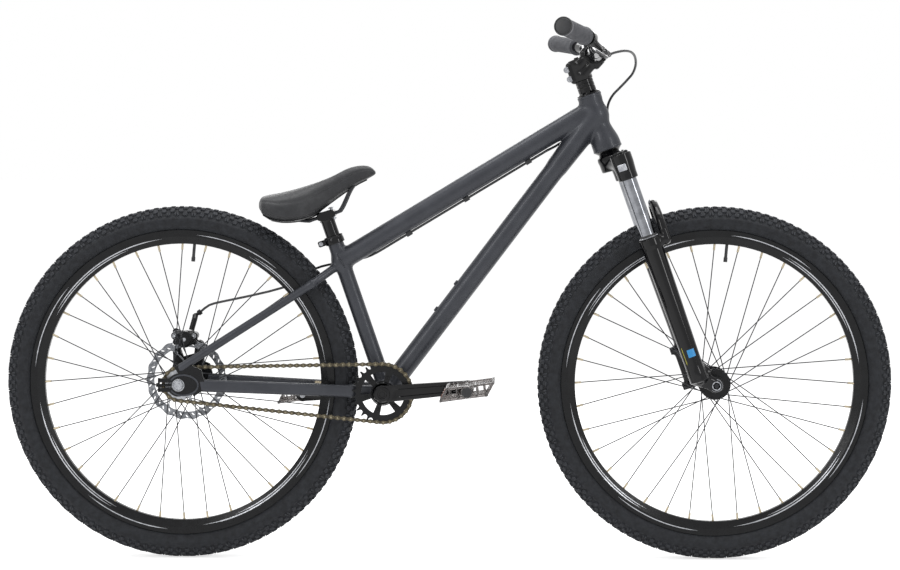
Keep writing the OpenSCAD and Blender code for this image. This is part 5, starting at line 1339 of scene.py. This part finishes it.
head = Shape()
for y0, y1 in ((-28, -16), (-15.4, 15.4), (16, 28)):
    outline = [(-19, -1), (-17, -5.5), (-10, -8.8), (10, -8.8), (17, -5.5), (19, -1), (19, 2), (16, 6.4), (9, 8.8),
               (-9, 8.8), (-16, 6.4), (-19, 2)]
    rings = [[at_rail(x * g, y, z * g) for x, z in outline] for y, g in
             ((y0, 0.93), (y0 + 1.2, 1), (y1 - 1.2, 1), (y1, 0.93))]
    head.rings(rings)
made = head.make("post_head_clamp", MAT["gloss_black"], "seat", bevel=0.6, replaces=("saddle_clamp",))
POST_TOP = on_seat(350)
neck = Shape()
neck.turned([(13.6, -9), (13.6, -2), (13.9, 1), (15.0, 5), (16.2, 9), (15.6, 12.5), (9, 14), (0.05, 14)],
            POST_TOP, SEAT_DIR, 48)
neck.make("post_head_neck", MAT["gloss_black"], "seat", sharp=30)
post_bolts = Shape()
for x in (-12, 12):
    post_bolts.turned([(0.05, -12.6), (2.2, -12.6), (2.3, -10.8), (4.6, -10.9), (4.9, -10.2), (4.9, -8.9), (3.0, -8.8),
                       (3.0, 11.2), (5.6, 11.2), (5.6, 12.6), (2.8, 13.4), (0.05, 13.4)], at_rail(x, 0, 0), RAIL_Z, 18)
post_bolts.make("post_head_bolts", MAT["steel"], "seat", sharp=30)

collar = Shape()
top_line = on_seat(318)
collar.turned([(15.6, -13.8), (18.4, -14.0), (19.0, -13.2), (19.0, -3.4), (18.2, -2.0), (18.6, -0.6), (18.6, 1.4),
               (17.6, 2.2), (14.2, 2.2), (14.2, 0.3), (15.6, 0.1)], top_line, SEAT_DIR, 64, loop=True)
SEAT_OUT = Vector((0.945519, 0, 0.325568))
for side in (1, -1):
    at = on_seat(312, side * 4.6, -24)
    collar.block(at, (8.4, 3.2, 5.8), (SEAT_OUT, SIDE, SEAT_DIR), 1.6)
collar.make("seat_collar", MAT["gloss_black"], "frame", replaces=("seat_clamp",), sharp=30)
pin = Shape()
pin.turned([(0.05, -12.4), (3.6, -12.4), (4.5, -11.6), (4.5, -8.0), (2.4, -7.9), (2.4, 10), (0.05, 10)],
           on_seat(312, 0, -26.6), SIDE, 22)
pin.turned([(0.05, -12.7), (2.2, -12.7), (2.2, -12.3), (0.05, -12.3)], on_seat(312, 0, -26.6), SIDE, 6)
pin.make("collar_screw", MAT["steel"], "frame", sharp=30)

# crank set, chain ends and pedals
CRANK = math.radians(5)
CRANK_X = Vector((math.cos(CRANK), 0, math.sin(CRANK)))
CRANK_Z = Vector((-CRANK_X.z, 0, CRANK_X.x))


def at_crank(x, y, z):
    return BB + x * CRANK_X + Vector((0, y, 0)) + z * CRANK_Z


def crank_arm(name, side):
    """Forged arm: round eyes, a tapered body with a shallow channel along its face."""
    sign = 1 if side < 0 else -1
    shape = Shape()
    inner, outer = side * 58.1, side * 72.9
    rings = []
    for k in range(49):
        x = -17 + (165 + 17 + 13) * (1 - math.cos(math.pi * k / 48)) / 2
        if x < 6:
            half = math.sqrt(max(17 ** 2 - x ** 2, 1.0))
        elif x > 158:
            half = math.sqrt(max(13 ** 2 - (x - 165) ** 2, 1.0))
        else:
            half = 16.0 - 3.4 * (x - 6) / 152
        channel = 2.3 * min(1, max(0, (x - 24) / 12)) * min(1, max(0, (146 - x) / 12))
        edge = min(2.6, half * 0.45)
        mid_out = outer - side * channel
        ring = []
        for y, z in ((inner + side * 1.6, -half), (outer - side * 2.2, -half), (outer, -half + edge),
                     (outer, -half * 0.52), (mid_out, -half * 0.42), (mid_out, half * 0.42), (outer, half * 0.52),
                     (outer, half - edge), (outer - side * 2.2, half), (inner + side * 1.6, half),
                     (inner, half - edge * 0.7), (inner, -half + edge * 0.7)):
            ring.append(at_crank(sign * x, y, z))
        rings.append(ring)
    shape.rings(rings)
    made = shape.make(name, MAT["gloss_black"], "crank", sharp=32, bevel=0.45)
    return made


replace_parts(crank_arm("right_crank_arm", -1), "crank_arms")
crank_arm("left_crank_arm", 1)

ends = Shape()
for side in (1, -1):
    sign = -side
    ends.turned([(0.05, 58), (12.0, 58), (12.0, 72.9), (14.4, 73.0), (14.8, 73.6), (14.2, 75.0), (9.2, 75.1),
                 (8.6, 73.4), (5.4, 73.3), (5.0, 74.2), (0.05, 74.2)], BB, SIDE * side, 44)
ends.make("spindle_caps", MAT["gloss_black"], "crank", sharp=28, replaces=("crank_spindle",))
axle_ends = Shape()
for side in (1, -1):
    sign = -side
    axle_ends.turned([(0.05, 57.2), (5.6, 57.2), (5.6, 60), (7, 60), (7, 73), (8.2, 73.2), (8.2, 76.6), (6.0, 76.9),
                      (6.0, 84), (5.6, 120), (5.0, 168), (0.05, 168)], at_crank(sign * 165, 0, 0), SIDE * side, 24)
axle_ends.make("pedal_spindles", MAT["steel"], "crank", sharp=28, replaces=("pedal_axles",))

ring_bits = Shape()
for k in range(6):
    a = math.radians(5 + 8 + 60 * k)
    c, s = turn(a)
    at = Vector((BB.x + 33 * c, 0, BB.z + 33 * s))
    ring_bits.turned([(0.05, 51.4), (3.6, 51.4), (4.0, 51.9), (4.0, 52.6), (2.2, 52.9), (1.9, 52.0), (0.05, 52.0)],
                     at, -SIDE, 16)
ring_bits.turned([(12.2, 51.5), (21.5, 51.5), (22.3, 52.2), (22.3, 54.6), (20.6, 57.9), (12.2, 57.9)], BB, -SIDE, 56,
                 loop=True)
ring_bits.make("ring_spider_boss", MAT["black_alloy"], "crank", sharp=28)

MAT["reflector"] = material("reflector", "#a8786c", "#c39a8b", (0.12, 0.22), 0.0, 260, 0.25, 420, coat=0.8,
                            glass=0.35)
MAT["chain_pin"] = material("chain_pin", "#6f6857", "#938b76", (0.2, 0.34), 0.9, 150, 0.1, 1300)
MAT["chain_pin"]["slot"] = "chain_steel"
MAT["reflector"]["slot"] = "pedal_plastic"
TIP = math.radians(7.5)


def pedal(name, at, side, body, node):
    """Clear platform: outer frame with toothed edges, cross bars, centre barrel, reflectors and end cap."""
    fx = Vector((math.cos(TIP), 0, math.sin(TIP)))
    fz = Vector((-fx.z, 0, fx.x))
    mid = at + SIDE * side * (77 + 48.5)

    def p(x, y, z):
        return mid + x * fx + SIDE * (side * y) + z * fz

    def slanted(z):
        return 46 + z * 9 / 13

    cage = Shape()
    for end in (1, -1):
        for z in (-10.6, 0, 10.6):
            cage.block(p(end * (slanted(z) - 2.4), 0, end * z), (2.6, 48, 2.2 if z else 1.6), (fx, SIDE, fz), 0.8)
        for y in (-47, -24, 0, 24, 47):
            rings = [[p(end * (slanted(z) - 4.6), y + w, end * z), p(end * slanted(z), y + w, end * z)]
                     for z, w in ((-12, 0), (12, 0))]
            low, high = rings
            ring = []
            for w in (-1.5, 1.5):
                ring.append([q + SIDE * (side * w) for q in (low[0], low[1], high[1], high[0])])
            cage.rings(ring)
        for k in range(9):
            for z in (12.4, -12.4):
                cage.block(p(end * (slanted(z) - 3), -42 + 10.5 * k, end * z), (2.2, 1.7, 1.1), (fx, SIDE, fz), 0.4)
    for y in (-46.2, 46.2):
        for z, shift in ((10.4, 7.2), (-10.4, -7.2)):
            cage.block(p(shift, y, z), (45, 1.9, 2.2), (fx, SIDE, fz), 0.7)
        for x in (-33, -19, 19, 33):
            cage.block(p(x, y, 0), (1.5, 1.7, 9.4), (fx, SIDE, fz), 0.5)
    for x in (-17, 17):
        for z in (8.6, -8.6):
            cage.block(p(x, 0, z), (1.9, 45, 2.0), (fx, SIDE, fz), 0.6)
    for y in (-30, -15, 0, 15, 30):
        for z, shift in ((8.6, 6), (-8.6, -6)):
            cage.block(p(shift, y, z), (42, 1.4, 1.8), (fx, SIDE, fz), 0.5)
        cage.block(p(0, y, 0), (10.5, 1.6, 10.5), (fx, SIDE, fz), 0.5)
    cage.turned([(6.3, -48.2), (11.2, -48.2), (11.8, -46), (10.2, -40), (9.6, 0), (10.2, 40), (12.2, 47), (12.4, 50.5),
                 (11.2, 53.6), (6.3, 53.8)], mid, SIDE * side, 36, loop=True)
    cage.make(name, MAT["pedal_plastic"], body, replaces=(node,), sharp=30)
    lens = Shape()
    for end in (1, -1):
        for z in (-6, -2, 2, 6):
            lens.block(p(end * (slanted(z) - 0.4), 0, end * z), (1.3, 20, 2.1), (fx, SIDE, fz), 0.4)
    lens.make(name + "_reflectors", MAT["reflector"], body, slot="pedal_plastic", sharp=30)
    cap = Shape()
    cap.turned([(0.05, 50), (8.6, 50), (9.4, 52.4), (9.4, 54.0), (8.4, 55.0), (0.05, 55.0)], mid, SIDE * side, 32)
    cap.make(name + "_cap", MAT["black_plastic"], body, sharp=28)
    for_pins = Shape()
    for x in (-34, 34):
        for y in (-40, 40):
            for z in (1, -1):
                for_pins.turned([(0.05, 11), (1.9, 11), (1.9, 13.0), (1.4, 13.4), (0.05, 13.4)], p(x, y, 0), fz * z, 12)
    for_pins.make(name + "_screws", MAT["steel"], body, sharp=30)


pedal("right_pedal_cage", at_crank(165, 0, 0), -1, "right_pedal", "right_pedal")
pedal("left_pedal_cage", at_crank(-165, 0, 0), 1, "left_pedal", "left_pedal")

# Rear end: dished nut, washer and the hood of each dropout, and the tensioner's screw
nuts = Shape()
for side in (1, -1):
    at = REAR + Vector((0, side * 74.5, 0))
    nuts.turned([(5.05, 0.1), (11.6, 0.1), (12.0, 0.6), (12.0, 1.5), (5.05, 1.5)], at, SIDE * side, 44, loop=True)
    nuts.turned([(5.05, 1.6), (10.4, 1.6), (10.4, 4.4), (9.2, 6.2), (8.4, 6.4), (7.6, 5.2), (5.05, 5.2)], at, SIDE * side,
                36, loop=True)
    nuts.turned([(0.05, 4.9), (5.0, 4.9), (5.0, 6.0), (4.2, 6.2), (2.8, 6.2), (2.7, 5.3), (0.05, 5.3)], at, SIDE * side, 20)
nuts.turned([(0.05, -74), (4.95, -74), (4.95, 74), (0.05, 74)], REAR, SIDE, 20)
nuts.make("rear_axle_hardware", MAT["steel"], "frame", sharp=28, replaces=("rear_axle",))

hoods = Shape()
for side in (1, -1):
    rings = []
    for k in range(33):
        a = math.radians(-150 + 300 * k / 32)
        c, s = turn(a)
        cx, r = 9, 20
        x = cx + (r + 9) * c if c > 0 else cx + (r + 6) * c
        z = r * s * 0.98
        out = Vector((c, 0, s)).normalized()
        at = REAR + Vector((x, side * 75.1, z))
        rings.append([at + out * 1.9 * math.cos(w) + SIDE * side * 1.5 * math.sin(w)
                      for w in (2 * math.pi * q / 10 for q in range(10))])
    hoods.rings(rings)
hoods.make("dropout_rims", MAT["frame_paint"], "frame", sharp=40)

tension = Shape()
for side in (1, -1):
    y = side * 71
    tension.block(REAR + Vector((-37.8, y, 0)), (1.7, 3.6, 13.8), cut=0.7)
    tension.turned([(0.05, 0), (2.4, 0), (2.4, 2.2), (4.4, 2.2), (4.4, 4.6), (0.05, 4.8)], REAR + Vector((-38.2, y, 0)),
                   (-1, 0, 0), 6)
    tension.turned([(0.05, 6), (2.4, 6), (2.4, 36), (0.05, 36)], REAR + Vector((0, y, 0)), (-1, 0, 0), 14)
tension.make("tensioner_blocks", MAT["black_alloy"], "frame", sharp=30, replaces=("chain_tensioners",))


# Rear caliper: piston housing, bridge and two ears, open for the rotor
CALIPER = Vector((-519.5, 52.2, 414.96))
EARS = (REAR + Vector((-20, 0, 52)), REAR + Vector((24, 0, 68)))


def caliper_spot(x, y, z):
    return Vector((CALIPER.x + x, y, CALIPER.z + z))


def caliper_field(p):
    parts = [drum_field(p, caliper_spot(0, 34, 8), caliper_spot(0, 66.6, 8), 16.4, 2.2),
             drum_field(p, caliper_spot(0, 34, 8), caliper_spot(0, 36.6, 8), 12.5, 1.0),
             drum_field(p, caliper_spot(0, 66, 8), caliper_spot(0, 79, 8), 15.6, 1.4)]
    for x in (-19, 19):
        parts.append(bar_field(p, caliper_spot(x, 40, 15), caliper_spot(x, 62, 15), 7.6))
        parts.append(bar_field(p, caliper_spot(x * 0.5, 42, 6), caliper_spot(x * 1.1, 42, 1), 6.4, 4.6))
    parts.append(bar_field(p, caliper_spot(-16, 47, 20), caliper_spot(16, 47, 20), 4.8))
    for ear, x in zip(EARS, (-9, 10)):
        parts.append(drum_field(p, ear + Vector((0, 57.5, 0)), ear + Vector((0, 66.8, 0)), 8.2, 1.0))
        parts.append(bar_field(p, ear + Vector((0, 62, 0)), caliper_spot(x, 61, 8), 5.2, 6.4))
    return melted(parts, 1.6)


rough = Shape()
rough.tube([caliper_spot(0, 34, 8), caliper_spot(0, 78.5, 8)], 15.8, 24)
for x in (-19, 19):
    rough.tube([caliper_spot(x, 36, 15), caliper_spot(x, 66, 15)], 7, 16)
    rough.tube([caliper_spot(0, 42, 6), caliper_spot(x * 1.1, 42, 1)], 5, 12)
rough.tube([caliper_spot(-16, 47, 20), caliper_spot(16, 47, 20)], 5, 12)
for ear, x in zip(EARS, (-9, 10)):
    rough.tube([ear + Vector((0, 57.5, 0)), ear + Vector((0, 66.8, 0))], 8, 20)
    rough.tube([ear + Vector((0, 62, 0)), caliper_spot(x, 61, 8)], 5.6, 12)
gap = [Shape().block(caliper_spot(0, 52.2, -12), (50, 2.3, 26), (Vector((1, 0, 0)), SIDE, Vector((0, 0, 1))))]
gap += [bore(ear + Vector((0, 50, 0)), ear + Vector((0, 80, 0)), 3.3) for ear in EARS]
skin_over("caliper_forging", caliper_field, rough, 1.5, MAT["black_alloy"], "frame",
          replaces=("caliper_body",), cuts=gap, rounds=4)
trim = Shape()
trim.turned([(0.05, 32.6), (3.6, 32.6), (4.0, 33.2), (8.6, 33.4), (9.2, 34.2), (9.2, 35), (0.05, 35)],
            caliper_spot(0, 0, 8), SIDE, 28)
for x in (-19, 19):
    trim.turned([(0.05, 32.0), (2.2, 32.0), (2.4, 33.4), (4.6, 33.2), (4.8, 33.8), (4.8, 37.5), (0.05, 37.5)],
                caliper_spot(x, 0, 15), SIDE, 18)
trim.make("caliper_screws", MAT["steel"], "frame", sharp=30)
stop = Shape()
BARREL = REAR + Vector((26, 82, 133))
BARREL_DIR = Vector((0.8, 0, 0.6))
stop.turned([(2.6, -19), (4.9, -19), (4.9, -12), (3.4, -11), (3.4, -8), (5.4, -7.6), (5.6, -6.8), (5.6, -1),
             (5.0, -0.4), (2.7, 0)], BARREL, BARREL_DIR, 24)
stop.tube([BARREL - BARREL_DIR * 15, caliper_spot(16, 74, 46), caliper_spot(10, 71, 24)], 5.6, 16)
stop.make("caliper_cable_stop", MAT["black_alloy"], "frame", sharp=30)


# Chain: waisted plates, pins and rollers, one link per pitch
RING_R, COG_R, LINKS, CHAIN_Y = 56.5955, 32.3403, 84, -50
between = (BB - REAR).length
wrap = math.asin((RING_R - COG_R) / between)
slope = math.atan2(BB.z - REAR.z, BB.x - REAR.x)
run = between * math.cos(wrap)
ring_arc, cog_arc = RING_R * (math.pi + 2 * wrap), COG_R * (math.pi - 2 * wrap)
start = math.pi / 2 + wrap + slope
turned_in = start - math.pi - 2 * wrap
pitch = (ring_arc + cog_arc + 2 * run) / LINKS


def on_arc(centre, radius, angle):
    return Vector((centre.x + radius * math.cos(angle), CHAIN_Y, centre.z + radius * math.sin(angle)))


def chain_point(s):
    if s < ring_arc:
        return on_arc(BB, RING_R, start - s / RING_R)
    if s < ring_arc + run:
        return on_arc(BB, RING_R, turned_in).lerp(on_arc(REAR, COG_R, turned_in), (s - ring_arc) / run)
    if s < ring_arc + run + cog_arc:
        return on_arc(REAR, COG_R, turned_in - (s - ring_arc - run) / COG_R)
    return on_arc(REAR, COG_R, start).lerp(on_arc(BB, RING_R, start), (s - ring_arc - run - cog_arc) / run)


def link_plate_ring(a, b, y, grow=0.0):
    along = (b - a).normalized()
    up = Vector((-along.z, 0, along.x))
    length = (b - a).length
    ring = []
    for end, sign in ((b, 1), (a, -1)):
        for k in range(9):
            w = math.radians(-118 + 236 * k / 8)
            ring.append(end + sign * along * ((4.1 - grow) * math.cos(w)) + sign * up * ((4.1 - grow) * math.sin(w)))
        ring.append(a + along * (length / 2) + sign * up * (2.15 - grow))
    return [q + Vector((0, y, 0)) for q in ring]


chain = Shape()
pins = Shape()
for i in range(LINKS):
    a, b = chain_point(i * pitch), chain_point((i + 1) % LINKS * pitch)
    inner = i % 2 == 0
    for side in (1, -1):
        y0 = side * (1.7 if inner else 2.85)
        y1 = y0 + side * 1.0
        chain.rings([link_plate_ring(a, b, y0), link_plate_ring(a, b, y1 - side * 0.25),
                     link_plate_ring(a, b, y1, 0.3)])
    pins.turned([(0.05, -4.5), (1.3, -4.5), (1.8, -4.1), (1.8, 4.1), (1.3, 4.5), (0.05, 4.5)], a, SIDE, 12)
    pins.turned([(1.8, -1.65), (3.8, -1.65), (3.8, 1.65), (1.8, 1.65)], a, SIDE, 16, loop=True)
chain.make("chain_plates", MAT["chain_steel"], "frame", sharp=35, replaces=("chain",))
pins.make("chain_pins", MAT["chain_pin"], "frame", slot="chain_steel", sharp=35)
